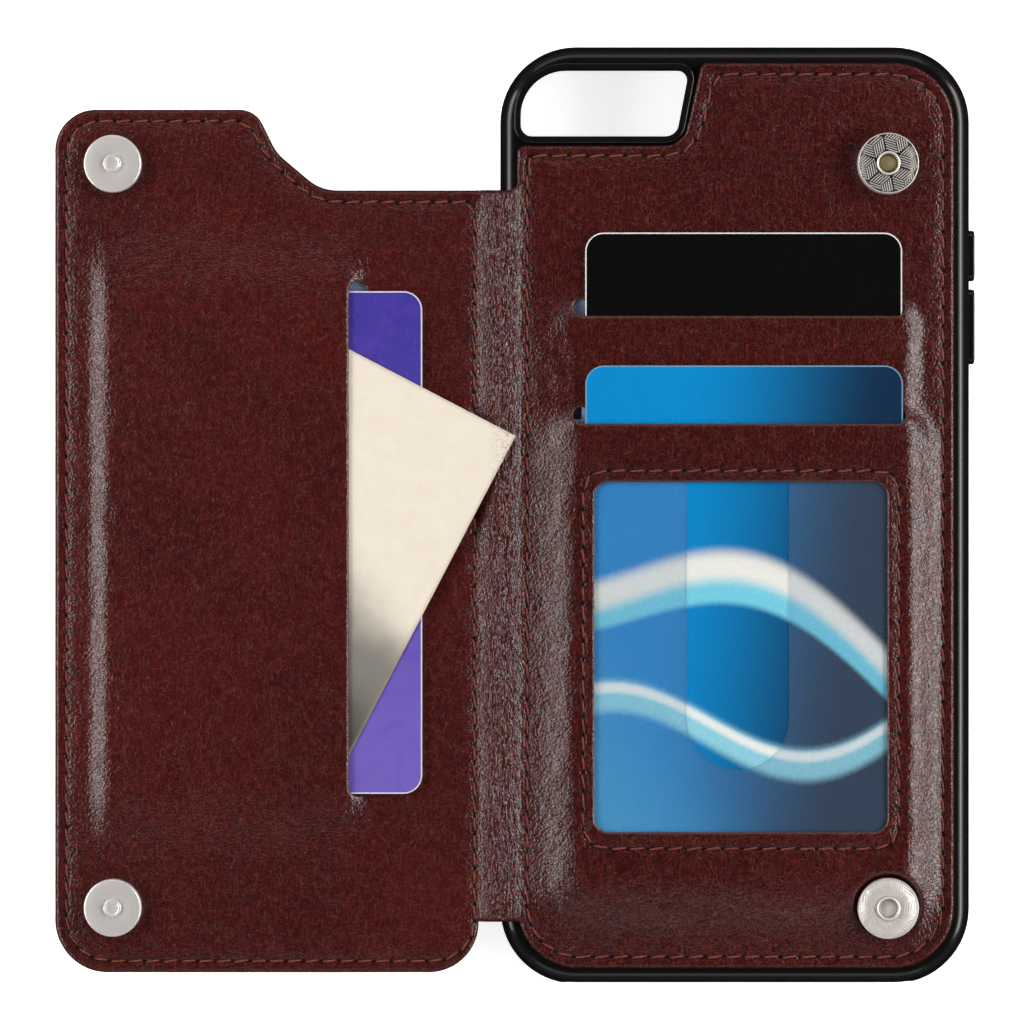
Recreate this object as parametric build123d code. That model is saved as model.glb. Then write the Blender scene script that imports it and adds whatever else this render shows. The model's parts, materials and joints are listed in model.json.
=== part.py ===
from build123d import *
import os

# Wallet case for a 5.5 inch phone. A soft shell holds the phone, a leather panel
# with two card slots and a clear window covers the shell's back, and a leather
# flap with one more card slot folds over the panel and is held by magnetic snaps.
#
# All lengths are millimetres. The case lies open on its front rim: the origin is
# the centre of that rim's plane, +Z points to the leather side, +Y to the end
# with the camera window, and +X to the side with the volume buttons. The flap is
# open flat towards -X.

# The phone and the cards that the case is sized for
PHONE_WIDTH = 77.8
PHONE_LENGTH = 158.1
PHONE_THICKNESS = 7.1
PHONE_CORNER = 11.7
CARD_LONG = 85.6
CARD_SHORT = 53.98
CARD_THICKNESS = 0.76
CARD_CORNER = 3.18

# Soft shell
FIT = 0.1
SHELL_WALL = 1.2
SHELL_LIP = 1.0
SHELL_LIP_REACH = 1.1
SHELL_BACK_ROUND = 3.0
SHELL_RIM_ROUND = 0.6
SHELL_BACK = 1.2
CAMERA_RIM = 1.2
CAMERA_RIM_HEIGHT = 1.3
CAMERA_WINDOW = [
    (-36.7, 64.7, 1.9),
    (-10.1, 64.7, 2.4),
    (-7.9, 76.1, 1.6),
    (-36.7, 76.1, 7.7),
]
PORT_LEFT = -30.0
PORT_RIGHT = 31.0
PORT_BOTTOM = 1.8
PORT_TOP = 8.0
MUTE_OPENING = (52.0, 60.0)

# Buttons moulded into the side walls, as (lower end, upper end) along Y
VOLUME_UP = (40.3, 49.0)
VOLUME_DOWN = (26.0, 38.9)
POWER = (40.0, 50.0)
BUTTON_HEIGHT = 2.8
BUTTON_PROUD = 1.1
POWER_PROUD = 0.7
BUTTON_EDGE = 0.35
BUTTON_GAP = 0.12

# Layers
BOARD = 0.6
PANEL_LINING = 0.3
FLAP_LINING = 0.2
LEATHER = 0.6
SPINE_LAYER = 0.45
FILM = 0.15
DIVIDER = 0.3
PAPER = 0.15
THREAD_HEIGHT = 0.1
THREAD_WIDTH = 0.5
SLIDE_GAP = 0.03

# Leather panel on the shell's back
PANEL_HALF_WIDTH = 37.3
PANEL_HALF_LENGTH = 77.3
PANEL_CORNER = 10.5
PANEL_HINGE_EDGE = -36.5
NOTCH_Y = 63.2
PANEL_SEAM_INSET = 2.0
BOARD_INSET = 0.8

# Card slots and clear window
SLOT_LENGTH = 56.6
SLOT_WIDTH = 2.9
SLOT_X = 0.5
UPPER_SLOT_Y = 35.45
LOWER_SLOT_Y = 17.05
POCKET_HALF_WIDTH = 30.5
POCKET_BOTTOM = -61.2
CARD_X = 1.27
BLACK_CARD_Y = 5.4
BLUE_CARD_Y = -17.3
WINDOW_CENTRE = (0.7, -24.05)
WINDOW_SIZE = (49.8, 59.5)
WINDOW_CORNER = 2.4
WINDOW_SEAM_GAP = 1.9
FILM_MARGIN = 2.9
THUMB_NOTCH_WIDTH = 17.4
THUMB_NOTCH_LOW = -43.2
THUMB_NOTCH_X = 0.2

# Creases and spine
CREASE_CASE_X = -37.2
CREASE_FLAP_X = -43.2
SPINE_BOTTOM = -69.3
SPINE_TOP = 55.5
SPINE_CLEARANCE = 0.2

# Flap, with its corners as (x, y, radius)
FLAP_LEFT = -116.2
FLAP_RIGHT = -43.9
FLAP_TOP = 69.3
FLAP_SHOULDER = 55.4
FLAP_BOTTOM = -78.0
FLAP_CORNERS = [
    (FLAP_LEFT, FLAP_BOTTOM, 9.0),
    (FLAP_RIGHT, FLAP_BOTTOM, 8.5),
    (FLAP_RIGHT, FLAP_SHOULDER, 0.0),
    (-70.8, FLAP_SHOULDER, 7.5),
    (-78.4, 61.9, 8.0),
    (-82.0, FLAP_TOP, 4.3),
    (FLAP_LEFT, FLAP_TOP, 7.0),
]
FLAP_SEAM_INSET = 2.0
FLAP_SLOT_X = -64.55
FLAP_SLOT_Y = -3.9
FLAP_SLOT_LENGTH = 87.8
FLAP_POCKET_LEFT = -110.0
FLAP_POCKET_BOTTOM = -50.0
FLAP_POCKET_TOP = 41.0
PURPLE_CARD_CENTRE = (-80.5, -4.6)
PRINT_SIZE = (42.0, 68.0)
PRINT_CENTRE = (-71.9, -6.9)
PRINT_TURN = -27.5

# Magnetic snaps: sockets on the panel, studs on the flap
SNAP_X = 25.8
SNAP_YS = (59.9, -66.8)
SOCKET_DIAMETER = 10.4
SOCKET_HEIGHT = 2.6
SOCKET_BOSS_DIAMETER = 4.9
SOCKET_BOSS_HEIGHT = 0.35
SOCKET_HOLE = 3.3
SOCKET_SHEET = 0.4
STUD_DIAMETER = 9.8
STUD_HEIGHT = 1.7
STUD_EDGE = 0.4
STUD_NUB = 2.9
STUD_NUB_HEIGHT = 0.4
RIVET_TUBE = 4.1
RIVET_PIN = 2.6
RIVET_HEAD = 6.0
WASHER_DIAMETER = 8.4
WASHER = 0.25
HEAD = 0.22
BOARD_HOLE = 9.0
CLEARANCE = 0.1

# Heights worked out from the layers
POCKET_HEIGHT = PHONE_THICKNESS + 2 * FIT
SHELL_HEIGHT = SHELL_LIP + POCKET_HEIGHT + SHELL_BACK
LINING_Z = SHELL_HEIGHT + BOARD
SKIN_Z = LINING_Z + PANEL_LINING
FACE_Z = SKIN_Z + LEATHER
BLACK_CARD_Z = FACE_Z + SLIDE_GAP
MIDDLE_BAND_Z = BLACK_CARD_Z + CARD_THICKNESS + SLIDE_GAP
MIDDLE_BAND_TOP = MIDDLE_BAND_Z + LEATHER
BLUE_CARD_Z = MIDDLE_BAND_TOP + SLIDE_GAP
FILM_Z = BLUE_CARD_Z + CARD_THICKNESS + SLIDE_GAP
LOWER_BAND_Z = FILM_Z + FILM
LOWER_BAND_TOP = LOWER_BAND_Z + LEATHER
DIVIDER_Z = MIDDLE_BAND_Z + (LEATHER - DIVIDER) / 2
FLAP_LINING_Z = SKIN_Z - FLAP_LINING
FLAP_BOARD_Z = FLAP_LINING_Z - BOARD
FLAP_OUTER_Z = FLAP_BOARD_Z - LEATHER
PRINT_Z = BLACK_CARD_Z + CARD_THICKNESS + SLIDE_GAP
FLAP_POCKET_Z = PRINT_Z + PAPER + SLIDE_GAP
FLAP_POCKET_TOP_Z = FLAP_POCKET_Z + LEATHER

# Plan sizes worked out from the phone
POCKET_WIDTH = PHONE_WIDTH + 2 * FIT
POCKET_LENGTH = PHONE_LENGTH + 2 * FIT
POCKET_CORNER = PHONE_CORNER + FIT
SHELL_WIDTH = POCKET_WIDTH + 2 * SHELL_WALL
SHELL_LENGTH = POCKET_LENGTH + 2 * SHELL_WALL
SHELL_CORNER = POCKET_CORNER + SHELL_WALL
STUD_X = CREASE_CASE_X + CREASE_FLAP_X - SNAP_X


def block(x0, x1, y0, y1, z0, z1):
    """A box between two corners."""
    centre = Pos((x0 + x1) / 2, (y0 + y1) / 2, (z0 + z1) / 2)
    return centre * Box(x1 - x0, y1 - y0, z1 - z0)


def slab(plan, z, thickness):
    """A flat outline raised to z and thickened upwards."""
    return Pos(0, 0, z) * extrude(plan, thickness)


def disc(diameter, z0, z1):
    """An upright cylinder on the Z axis."""
    return slab(Circle(diameter / 2), z0, z1 - z0)


def rounded_plan(corners):
    """A closed outline from (x, y, radius) corners in order."""
    plan = make_face(Polyline(*[(x, y) for x, y, radius in corners], close=True))
    for x, y, radius in corners:
        if radius > 0:
            corner = plan.vertices().sort_by_distance(Vector(x, y, 0))[0]
            plan = fillet(corner, radius)
    return plan


def seam(plan, inset):
    """The narrow ring that a line of stitches covers, inside an outline."""
    outer = offset(plan, THREAD_WIDTH / 2 - inset)
    inner = offset(plan, -THREAD_WIDTH / 2 - inset)
    return outer - inner


def at_snaps(x, piece):
    """The piece at both snap places along one edge."""
    return Part() + [Pos(x, y, 0) * piece for y in SNAP_YS]


def panel_plan():
    """The leather panel's outline, notched around the camera window."""
    half_w, half_l = PANEL_HALF_WIDTH, PANEL_HALF_LENGTH
    return rounded_plan([
        (-half_w, -half_l, PANEL_CORNER),
        (half_w, -half_l, PANEL_CORNER),
        (half_w, half_l, PANEL_CORNER),
        (-5.9, half_l, 1.4),
        (-9.1, NOTCH_Y, 4.0),
        (-half_w, NOTCH_Y, 1.4),
    ])


def hinge_side_cut():
    """Everything left of the line where the panel gives way to the spine."""
    return block(-60, PANEL_HINGE_EDGE, -100, 100, 0, 30)


def slot_plan(y):
    """One of the panel's two card slots."""
    return Pos(SLOT_X, y) * SlotOverall(SLOT_LENGTH, SLOT_WIDTH)


def flap_slot_plan():
    """The flap's card slot."""
    upright = SlotOverall(FLAP_SLOT_LENGTH, SLOT_WIDTH, rotation=90)
    return Pos(FLAP_SLOT_X, FLAP_SLOT_Y) * upright


def window_plan(margin=0.0):
    """The clear window's outline, grown by a margin."""
    width, length = WINDOW_SIZE
    plan = RectangleRounded(width + 2 * margin, length + 2 * margin, WINDOW_CORNER + margin)
    return Pos(*WINDOW_CENTRE) * plan


def button_place(side, ends):
    """The plane of a side button, on the inside face of the side wall."""
    low, high = ends
    middle = (SHELL_LIP + SHELL_HEIGHT - SHELL_BACK) / 2
    origin = (side * POCKET_WIDTH / 2, (low + high) / 2, middle)
    return Plane(origin=origin, x_dir=(0, 1, 0), z_dir=(side, 0, 0))


def button(side, ends, proud):
    """A pill-shaped button cover that stands through the side wall."""
    low, high = ends
    pill = button_place(side, ends) * SlotOverall(high - low, BUTTON_HEIGHT)
    solid = extrude(pill, SHELL_WALL + proud)
    outer_face = solid.faces().sort_by(Axis.X)[-1 if side > 0 else 0]
    return fillet(outer_face.edges(), BUTTON_EDGE)


def button_opening(side, ends):
    """The hole in the side wall around a button, or the mute switch's opening."""
    low, high = ends
    gap = 2 * BUTTON_GAP
    pill = button_place(side, ends) * SlotOverall(high - low + gap, BUTTON_HEIGHT + gap)
    return extrude(pill, 2 * SHELL_WALL) + extrude(pill, -SHELL_WALL)


def back_shell():
    """The soft shell: back plate, side walls, front lip and camera rim."""
    outside = extrude(RectangleRounded(SHELL_WIDTH, SHELL_LENGTH, SHELL_CORNER), SHELL_HEIGHT)
    outside = fillet(outside.edges().group_by(Axis.Z)[-1], SHELL_BACK_ROUND)
    outside = fillet(outside.edges().group_by(Axis.Z)[0], SHELL_RIM_ROUND)
    pocket = extrude(RectangleRounded(POCKET_WIDTH, POCKET_LENGTH, POCKET_CORNER), POCKET_HEIGHT)
    pocket = fillet(pocket.edges().group_by(Axis.Z)[-1], SHELL_BACK_ROUND - SHELL_WALL)
    mouth = RectangleRounded(
        POCKET_WIDTH - 2 * SHELL_LIP_REACH,
        POCKET_LENGTH - 2 * SHELL_LIP_REACH,
        POCKET_CORNER - SHELL_LIP_REACH,
    )
    window = rounded_plan(CAMERA_WINDOW)
    rim_bottom = SHELL_HEIGHT - SHELL_BACK / 2
    rim_height = SHELL_BACK / 2 + CAMERA_RIM_HEIGHT
    rim = slab(offset(window, CAMERA_RIM), rim_bottom, rim_height)
    rim = fillet(rim.edges().group_by(Axis.Z)[-1], CAMERA_RIM / 3)
    shell = outside - Pos(0, 0, SHELL_LIP) * pocket
    shell = shell - slab(mouth, -1, SHELL_LIP + 2)
    shell = shell + rim - slab(window, 0, SHELL_HEIGHT + 2 * CAMERA_RIM_HEIGHT)
    port = Plane.XZ * Pos((PORT_LEFT + PORT_RIGHT) / 2, (PORT_BOTTOM + PORT_TOP) / 2)
    port = port * RectangleRounded(PORT_RIGHT - PORT_LEFT, PORT_TOP - PORT_BOTTOM, 2.0)
    shell = shell - Pos(0, -SHELL_LENGTH / 2 + SHELL_WALL, 0) * extrude(port, 2 * SHELL_WALL)
    for side, ends in [(1, VOLUME_UP), (1, VOLUME_DOWN), (1, MUTE_OPENING), (-1, POWER)]:
        shell = shell - button_opening(side, ends)
    return shell


def panel_board():
    """The stiff board glued to the shell, with room for the snaps' washers."""
    board = slab(offset(panel_plan(), -BOARD_INSET), SHELL_HEIGHT, BOARD)
    board = board - at_snaps(SNAP_X, disc(BOARD_HOLE, SHELL_HEIGHT, LINING_Z))
    return board - hinge_side_cut()


def panel_lining():
    """The woven lining over the board, seen inside the slots."""
    lining = slab(offset(panel_plan(), -BOARD_INSET), LINING_Z, PANEL_LINING)
    lining = lining - at_snaps(SNAP_X, disc(RIVET_TUBE + 2 * CLEARANCE, LINING_Z, SKIN_Z))
    return lining - hinge_side_cut()


def panel_leather():
    """The panel's leather: flat at its edges and stepped up over the two cards."""
    left, right = SLOT_X - POCKET_HALF_WIDTH, SLOT_X + POCKET_HALF_WIDTH
    mouth_left, mouth_right = SLOT_X - SLOT_LENGTH / 2, SLOT_X + SLOT_LENGTH / 2
    upper_mouth = UPPER_SLOT_Y - SLOT_WIDTH / 2
    step = LOWER_SLOT_Y
    skin = slab(panel_plan(), SKIN_Z, LEATHER)
    skin = skin - block(left, right, POCKET_BOTTOM, upper_mouth, SKIN_Z, FACE_Z)
    skin = skin + block(left, right, POCKET_BOTTOM, step, SKIN_Z, LOWER_BAND_TOP)
    skin = skin + block(left, right, step, upper_mouth, SKIN_Z, MIDDLE_BAND_TOP)
    inner_left, inner_right = left + LEATHER, right - LEATHER
    low, wall = POCKET_BOTTOM + LEATHER, step - LEATHER
    skin = skin - block(inner_left, inner_right, low, wall, SKIN_Z, LOWER_BAND_Z)
    skin = skin - block(inner_left, inner_right, low, upper_mouth - LEATHER, SKIN_Z, MIDDLE_BAND_Z)
    skin = skin - block(mouth_left, mouth_right, low, step, SKIN_Z, LOWER_BAND_Z)
    skin = skin - block(mouth_left, mouth_right, step, upper_mouth, SKIN_Z, MIDDLE_BAND_Z)
    for y in (UPPER_SLOT_Y, LOWER_SLOT_Y):
        skin = skin - slab(slot_plan(y), SKIN_Z, LOWER_BAND_TOP - SKIN_Z)
    skin = skin - slab(window_plan(), SKIN_Z, LOWER_BAND_TOP - SKIN_Z)
    skin = skin - at_snaps(SNAP_X, disc(RIVET_TUBE + 2 * CLEARANCE, SKIN_Z, FACE_Z))
    return skin - hinge_side_cut()


def pocket_divider():
    """The lining sheet between the two cards, fixed below the lower slot."""
    half = POCKET_HALF_WIDTH - LEATHER - CLEARANCE
    left, right = SLOT_X - half, SLOT_X + half
    top = LOWER_SLOT_Y - LEATHER - CLEARANCE
    bottom = POCKET_BOTTOM + LEATHER + CLEARANCE
    sheet = block(left, right, bottom, top, DIVIDER_Z, DIVIDER_Z + DIVIDER)
    tongue_half = SLOT_LENGTH / 2 - SLOT_WIDTH / 2
    tongue_top = LOWER_SLOT_Y + SLOT_WIDTH / 2 - CLEARANCE
    tongue = block(
        SLOT_X - tongue_half, SLOT_X + tongue_half, top, tongue_top, DIVIDER_Z, DIVIDER_Z + DIVIDER
    )
    return sheet + tongue


def window_film():
    """The clear film behind the window, with a thumb notch to push the card out."""
    plan = window_plan(FILM_MARGIN)
    film_top = WINDOW_CENTRE[1] + WINDOW_SIZE[1] / 2 + FILM_MARGIN
    length = 2 * (film_top - THUMB_NOTCH_LOW)
    notch = SlotOverall(length, THUMB_NOTCH_WIDTH, rotation=90)
    return slab(plan - Pos(THUMB_NOTCH_X, film_top) * notch, FILM_Z, FILM)


def panel_stitching():
    """The seam along the panel's edge."""
    return slab(seam(panel_plan(), PANEL_SEAM_INSET), FACE_Z, THREAD_HEIGHT)


def window_stitching():
    """The seam around the clear window."""
    plan = window_plan(2 * WINDOW_SEAM_GAP)
    return slab(seam(plan, WINDOW_SEAM_GAP), LOWER_BAND_TOP, THREAD_HEIGHT)


def snap_socket_caps():
    """The sockets' plated caps: shallow cups with a raised ring around the hole."""
    top = FACE_Z + SOCKET_HEIGHT
    boss_top = top + SOCKET_BOSS_HEIGHT
    cap = disc(SOCKET_DIAMETER, FACE_Z, top)
    cap = fillet(cap.edges().group_by(Axis.Z)[-1], SOCKET_SHEET)
    cap = cap + disc(SOCKET_BOSS_DIAMETER, top - SOCKET_SHEET, boss_top)
    cap = cap - disc(SOCKET_DIAMETER - 2 * SOCKET_SHEET, FACE_Z, top - SOCKET_SHEET)
    cap = cap - disc(SOCKET_HOLE, FACE_Z, boss_top)
    return at_snaps(SNAP_X, cap)


def snap_socket_magnets():
    """The ring magnets inside the sockets' caps."""
    low, high = FACE_Z + CLEARANCE / 2, FACE_Z + SOCKET_HEIGHT - SOCKET_SHEET - CLEARANCE
    ring = disc(SOCKET_DIAMETER - 2 * SOCKET_SHEET - 2 * CLEARANCE, low, high)
    ring = ring - disc(RIVET_TUBE + 2 * CLEARANCE, low, high)
    return at_snaps(SNAP_X, ring)


def snap_socket_rivets():
    """The brass tube rivets that hold the sockets to the panel."""
    head_top = SHELL_HEIGHT + CLEARANCE + HEAD
    tube_top = FACE_Z + SOCKET_HEIGHT - SOCKET_SHEET
    rivet = disc(RIVET_HEAD, head_top - HEAD, head_top)
    rivet = rivet + disc(RIVET_TUBE, head_top - HEAD, tube_top)
    rivet = rivet - disc(SOCKET_HOLE, head_top, tube_top)
    return at_snaps(SNAP_X, rivet)


def snap_socket_washers():
    """The washers behind the panel's lining."""
    ring = disc(WASHER_DIAMETER, LINING_Z - WASHER, LINING_Z)
    ring = ring - disc(RIVET_TUBE + 2 * CLEARANCE, LINING_Z - WASHER, LINING_Z)
    return at_snaps(SNAP_X, ring)


def spine_layer(z):
    """One of the two leather layers between the creases."""
    left, right = CREASE_FLAP_X + SPINE_CLEARANCE, CREASE_CASE_X - SPINE_CLEARANCE
    return block(left, right, SPINE_BOTTOM, SPINE_TOP, z, z + SPINE_LAYER)


def flap_outer_leather():
    """The flap's outer skin."""
    return slab(rounded_plan(FLAP_CORNERS), FLAP_OUTER_Z, LEATHER)


def flap_board():
    """The flap's stiff board, with room for the studs' washers."""
    board = slab(offset(rounded_plan(FLAP_CORNERS), -BOARD_INSET), FLAP_BOARD_Z, BOARD)
    return board - at_snaps(STUD_X, disc(BOARD_HOLE, FLAP_BOARD_Z, FLAP_LINING_Z))


def flap_lining():
    """The flap's lining, seen through its slot."""
    lining = slab(offset(rounded_plan(FLAP_CORNERS), -BOARD_INSET), FLAP_LINING_Z, FLAP_LINING)
    return lining - at_snaps(STUD_X, disc(RIVET_PIN + 2 * CLEARANCE, FLAP_LINING_Z, SKIN_Z))


def flap_inner_leather():
    """The flap's inner skin, raised over the card behind its slot."""
    right = FLAP_SLOT_X - SLOT_WIDTH / 2
    left, bottom, top = FLAP_POCKET_LEFT, FLAP_POCKET_BOTTOM, FLAP_POCKET_TOP
    mouth_bottom = FLAP_SLOT_Y - FLAP_SLOT_LENGTH / 2
    mouth_top = FLAP_SLOT_Y + FLAP_SLOT_LENGTH / 2
    wall = LEATHER
    skin = slab(rounded_plan(FLAP_CORNERS), SKIN_Z, LEATHER)
    skin = skin - block(left, right, bottom, top, SKIN_Z, FACE_Z)
    skin = skin + block(left, right, bottom, top, SKIN_Z, FLAP_POCKET_TOP_Z)
    skin = skin - block(left + wall, right - wall, bottom + wall, top - wall, SKIN_Z, FLAP_POCKET_Z)
    skin = skin - block(right - wall, right, mouth_bottom, mouth_top, SKIN_Z, FLAP_POCKET_Z)
    skin = skin - slab(flap_slot_plan(), SKIN_Z, LEATHER)
    return skin - at_snaps(STUD_X, disc(RIVET_PIN + 2 * CLEARANCE, SKIN_Z, FACE_Z))


def flap_stitching():
    """The seam along the flap's edge."""
    return slab(seam(rounded_plan(FLAP_CORNERS), FLAP_SEAM_INSET), FACE_Z, THREAD_HEIGHT)


def snap_stud_discs():
    """The studs' plated steel discs, each with a small nub that enters a socket."""
    top = FACE_Z + STUD_HEIGHT
    stud = disc(STUD_DIAMETER, FACE_Z, top)
    stud = fillet(stud.edges().group_by(Axis.Z)[-1], STUD_EDGE)
    stud = stud + disc(STUD_NUB, top - STUD_EDGE, top + STUD_NUB_HEIGHT)
    stud = stud - disc(RIVET_PIN + 2 * CLEARANCE, FACE_Z, top - 2 * STUD_EDGE)
    return at_snaps(STUD_X, stud)


def snap_stud_rivets():
    """The rivets that hold the studs to the flap."""
    head_low = FLAP_BOARD_Z + CLEARANCE / 2
    rivet = disc(RIVET_HEAD, head_low, head_low + HEAD)
    rivet = rivet + disc(RIVET_PIN, head_low, FACE_Z + STUD_HEIGHT - 3 * STUD_EDGE)
    return at_snaps(STUD_X, rivet)


def snap_stud_washers():
    """The washers behind the flap's lining."""
    ring = disc(WASHER_DIAMETER, FLAP_LINING_Z - WASHER, FLAP_LINING_Z)
    ring = ring - disc(RIVET_PIN + 2 * CLEARANCE, FLAP_LINING_Z - WASHER, FLAP_LINING_Z)
    return at_snaps(STUD_X, ring)


def upright_card(x, y, z):
    """A bank-card sized card with its long side along Y."""
    plan = RectangleRounded(CARD_SHORT, CARD_LONG, CARD_CORNER)
    return slab(Pos(x, y) * plan, z, CARD_THICKNESS)


def loose_print():
    """A paper print tucked into the flap's slot at an angle."""
    sheet = Pos(*PRINT_CENTRE) * Rectangle(*PRINT_SIZE, rotation=PRINT_TURN)
    return slab(sheet, PRINT_Z, PAPER)


PIECES = {
    "back_shell": back_shell(),
    "volume_up_button": button(1, VOLUME_UP, BUTTON_PROUD),
    "volume_down_button": button(1, VOLUME_DOWN, BUTTON_PROUD),
    "power_button": button(-1, POWER, POWER_PROUD),
    "panel_board": panel_board(),
    "panel_lining": panel_lining(),
    "panel_leather": panel_leather(),
    "pocket_divider": pocket_divider(),
    "window_film": window_film(),
    "panel_stitching": panel_stitching(),
    "window_stitching": window_stitching(),
    "snap_socket_caps": snap_socket_caps(),
    "snap_socket_magnets": snap_socket_magnets(),
    "snap_socket_rivets": snap_socket_rivets(),
    "snap_socket_washers": snap_socket_washers(),
    "spine_outer_leather": spine_layer(SKIN_Z - SPINE_LAYER + CLEARANCE / 2),
    "spine_inner_leather": spine_layer(SKIN_Z + CLEARANCE / 2),
    "flap_outer_leather": flap_outer_leather(),
    "flap_board": flap_board(),
    "flap_lining": flap_lining(),
    "flap_inner_leather": flap_inner_leather(),
    "flap_stitching": flap_stitching(),
    "snap_stud_discs": snap_stud_discs(),
    "snap_stud_rivets": snap_stud_rivets(),
    "snap_stud_washers": snap_stud_washers(),
    "black_card": upright_card(CARD_X, BLACK_CARD_Y, BLACK_CARD_Z),
    "blue_card": upright_card(CARD_X, BLUE_CARD_Y, BLUE_CARD_Z),
    "purple_card": upright_card(*PURPLE_CARD_CENTRE, BLACK_CARD_Z),
    "loose_print": loose_print(),
}

os.makedirs("parts", exist_ok=True)
for node, piece in PIECES.items():
    export_step(piece, f"parts/{node}.step")
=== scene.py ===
import json
import math
import random
from functools import partialmethod

import bmesh
import bpy
import numpy as np
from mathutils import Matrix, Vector, kdtree
from mathutils.geometry import delaunay_2d_cdt


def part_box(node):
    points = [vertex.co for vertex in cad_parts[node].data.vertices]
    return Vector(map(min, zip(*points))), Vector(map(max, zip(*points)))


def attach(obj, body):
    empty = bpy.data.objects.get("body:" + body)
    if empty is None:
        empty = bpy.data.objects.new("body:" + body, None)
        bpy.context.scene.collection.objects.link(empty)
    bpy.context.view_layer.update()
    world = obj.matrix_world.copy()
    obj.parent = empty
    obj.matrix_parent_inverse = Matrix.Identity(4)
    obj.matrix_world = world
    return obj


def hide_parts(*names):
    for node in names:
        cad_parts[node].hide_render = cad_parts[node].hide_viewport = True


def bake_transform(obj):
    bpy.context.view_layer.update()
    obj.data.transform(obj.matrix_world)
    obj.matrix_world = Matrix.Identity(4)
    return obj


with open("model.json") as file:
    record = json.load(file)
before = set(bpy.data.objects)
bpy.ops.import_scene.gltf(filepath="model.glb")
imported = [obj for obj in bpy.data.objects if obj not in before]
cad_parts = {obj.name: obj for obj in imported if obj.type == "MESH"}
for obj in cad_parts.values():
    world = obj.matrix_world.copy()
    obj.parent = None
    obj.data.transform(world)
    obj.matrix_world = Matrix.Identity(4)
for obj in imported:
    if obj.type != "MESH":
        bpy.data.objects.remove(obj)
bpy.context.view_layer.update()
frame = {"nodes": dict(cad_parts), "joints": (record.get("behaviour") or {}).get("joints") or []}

# Looks for the phone wallet case. Lengths in this script are millimetres, in the CAD
# frame, and become metres only where a mesh is written. Lights and camera are in metres.
MM = 0.001
SEED = 7


# -------------------------------- frame values

def node_box(name):
    """Lowest and highest corner of a CAD node, in millimetres."""
    low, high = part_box(name)
    return np.array(low) / MM, np.array(high) / MM


JOINTS = {joint["name"]: joint for joint in frame["joints"]}
CREASE_CASE_X = JOINTS["spine_fold"]["pos_m"][0] / MM
CREASE_FLAP_X = JOINTS["flap_fold"]["pos_m"][0] / MM
SPINE_X = (CREASE_CASE_X + CREASE_FLAP_X) / 2
BLACK_CARD = node_box("black_card")
BLUE_CARD = node_box("blue_card")
PURPLE_CARD = node_box("purple_card")
PRINT_LOW, PRINT_HIGH = node_box("loose_print")
SPINE_LOW, SPINE_HIGH = node_box("spine_inner_leather")
OUTER_LOW, OUTER_HIGH = node_box("flap_outer_leather")

# Heights.
FACE = node_box("panel_stitching")[0][2]
LOW_BAND_TOP = node_box("window_stitching")[0][2]
MIDDLE_BAND_TOP = BLUE_CARD[0][2] - 0.03
SHELL_TOP = node_box("panel_board")[0][2]
SKIN_Z = node_box("panel_lining")[1][2]
SPINE_BACK = node_box("spine_outer_leather")[0][2]
FLAP_POCKET_TOP = node_box("flap_inner_leather")[1][2]
FLAP_MIDDLE = (OUTER_LOW[2] + FACE) / 2

# Leather: its thickness, the same in the spine, the least anywhere, the gap between
# layers, and the rounding of its outer edges and of its holes.
LEATHER = 0.6
SPINE_LEATHER = 0.42
THINNEST = 0.08
HAIR = 0.02
PANEL_ROUND = 0.75
FLAP_ROUND = 0.85
HOLE_ROUND = 0.3

PANEL_HALF_WIDTH = 37.3
PANEL_HALF_LENGTH = 77.3
PANEL_CORNER = 10.5
NOTCH_Y = 63.2
SLOT_X = 0.5
SLOT_LENGTH = 56.6
SLOT_WIDTH = 2.9
UPPER_SLOT_Y = 35.45
LOWER_SLOT_Y = 17.05
FLAP_SLOT_X = -64.55
FLAP_SLOT_Y = -3.9
FLAP_SLOT_LENGTH = 87.8
WINDOW = (-24.2, -53.8, 25.6, 5.7)
WINDOW_CORNER = 2.4
SNAP_PLACES = [(25.8, 59.9), (25.8, -66.8)]
STUD_PLACES = [(-106.2, 59.9), (-106.2, -66.8)]
CAP_RADIUS = 5.2
STUD_RADIUS = 4.9


# -------------------------------- plan geometry

def unit(v):
    return v / max(np.linalg.norm(v), 1e-12)


def rectangle(x0, y0, x1, y1, low_radius, high_radius):
    """A rectangle's (x, y, radius) corners."""
    return [
        (x0, y0, low_radius), (x1, y0, low_radius), (x1, y1, high_radius), (x0, y1, high_radius),
    ]


def rounded_path(corners, step=0.9):
    """A closed anticlockwise path from (x, y, radius) corners, with a point every step."""
    turns = []
    count = len(corners)
    for i, (x, y, radius) in enumerate(corners):
        corner = np.array([x, y], float)
        if radius <= 0:
            turns.append(corner)
            continue
        back = unit(np.array(corners[i - 1][:2]) - corner)
        ahead = unit(np.array(corners[(i + 1) % count][:2]) - corner)
        half = math.acos(np.clip(back @ ahead, -1, 1)) / 2
        centre = corner + unit(back + ahead) * radius / math.sin(half)
        first = corner + back * radius / math.tan(half) - centre
        last = corner + ahead * radius / math.tan(half) - centre
        start = math.atan2(first[1], first[0])
        sweep = math.atan2(last[1], last[0]) - start
        sweep = (sweep + math.pi) % (2 * math.pi) - math.pi
        pieces = max(4, math.ceil(abs(sweep) * radius / step), math.ceil(abs(sweep) / 0.2))
        for k in range(pieces + 1):
            angle = start + sweep * k / pieces
            turns.append(centre + radius * np.array([math.cos(angle), math.sin(angle)]))
    path = []
    for a, b in zip(turns, turns[1:] + turns[:1]):
        pieces = max(1, math.ceil(np.linalg.norm(b - a) / step))
        path += [a + (b - a) * k / pieces for k in range(pieces)]
    return np.array(path)


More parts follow.
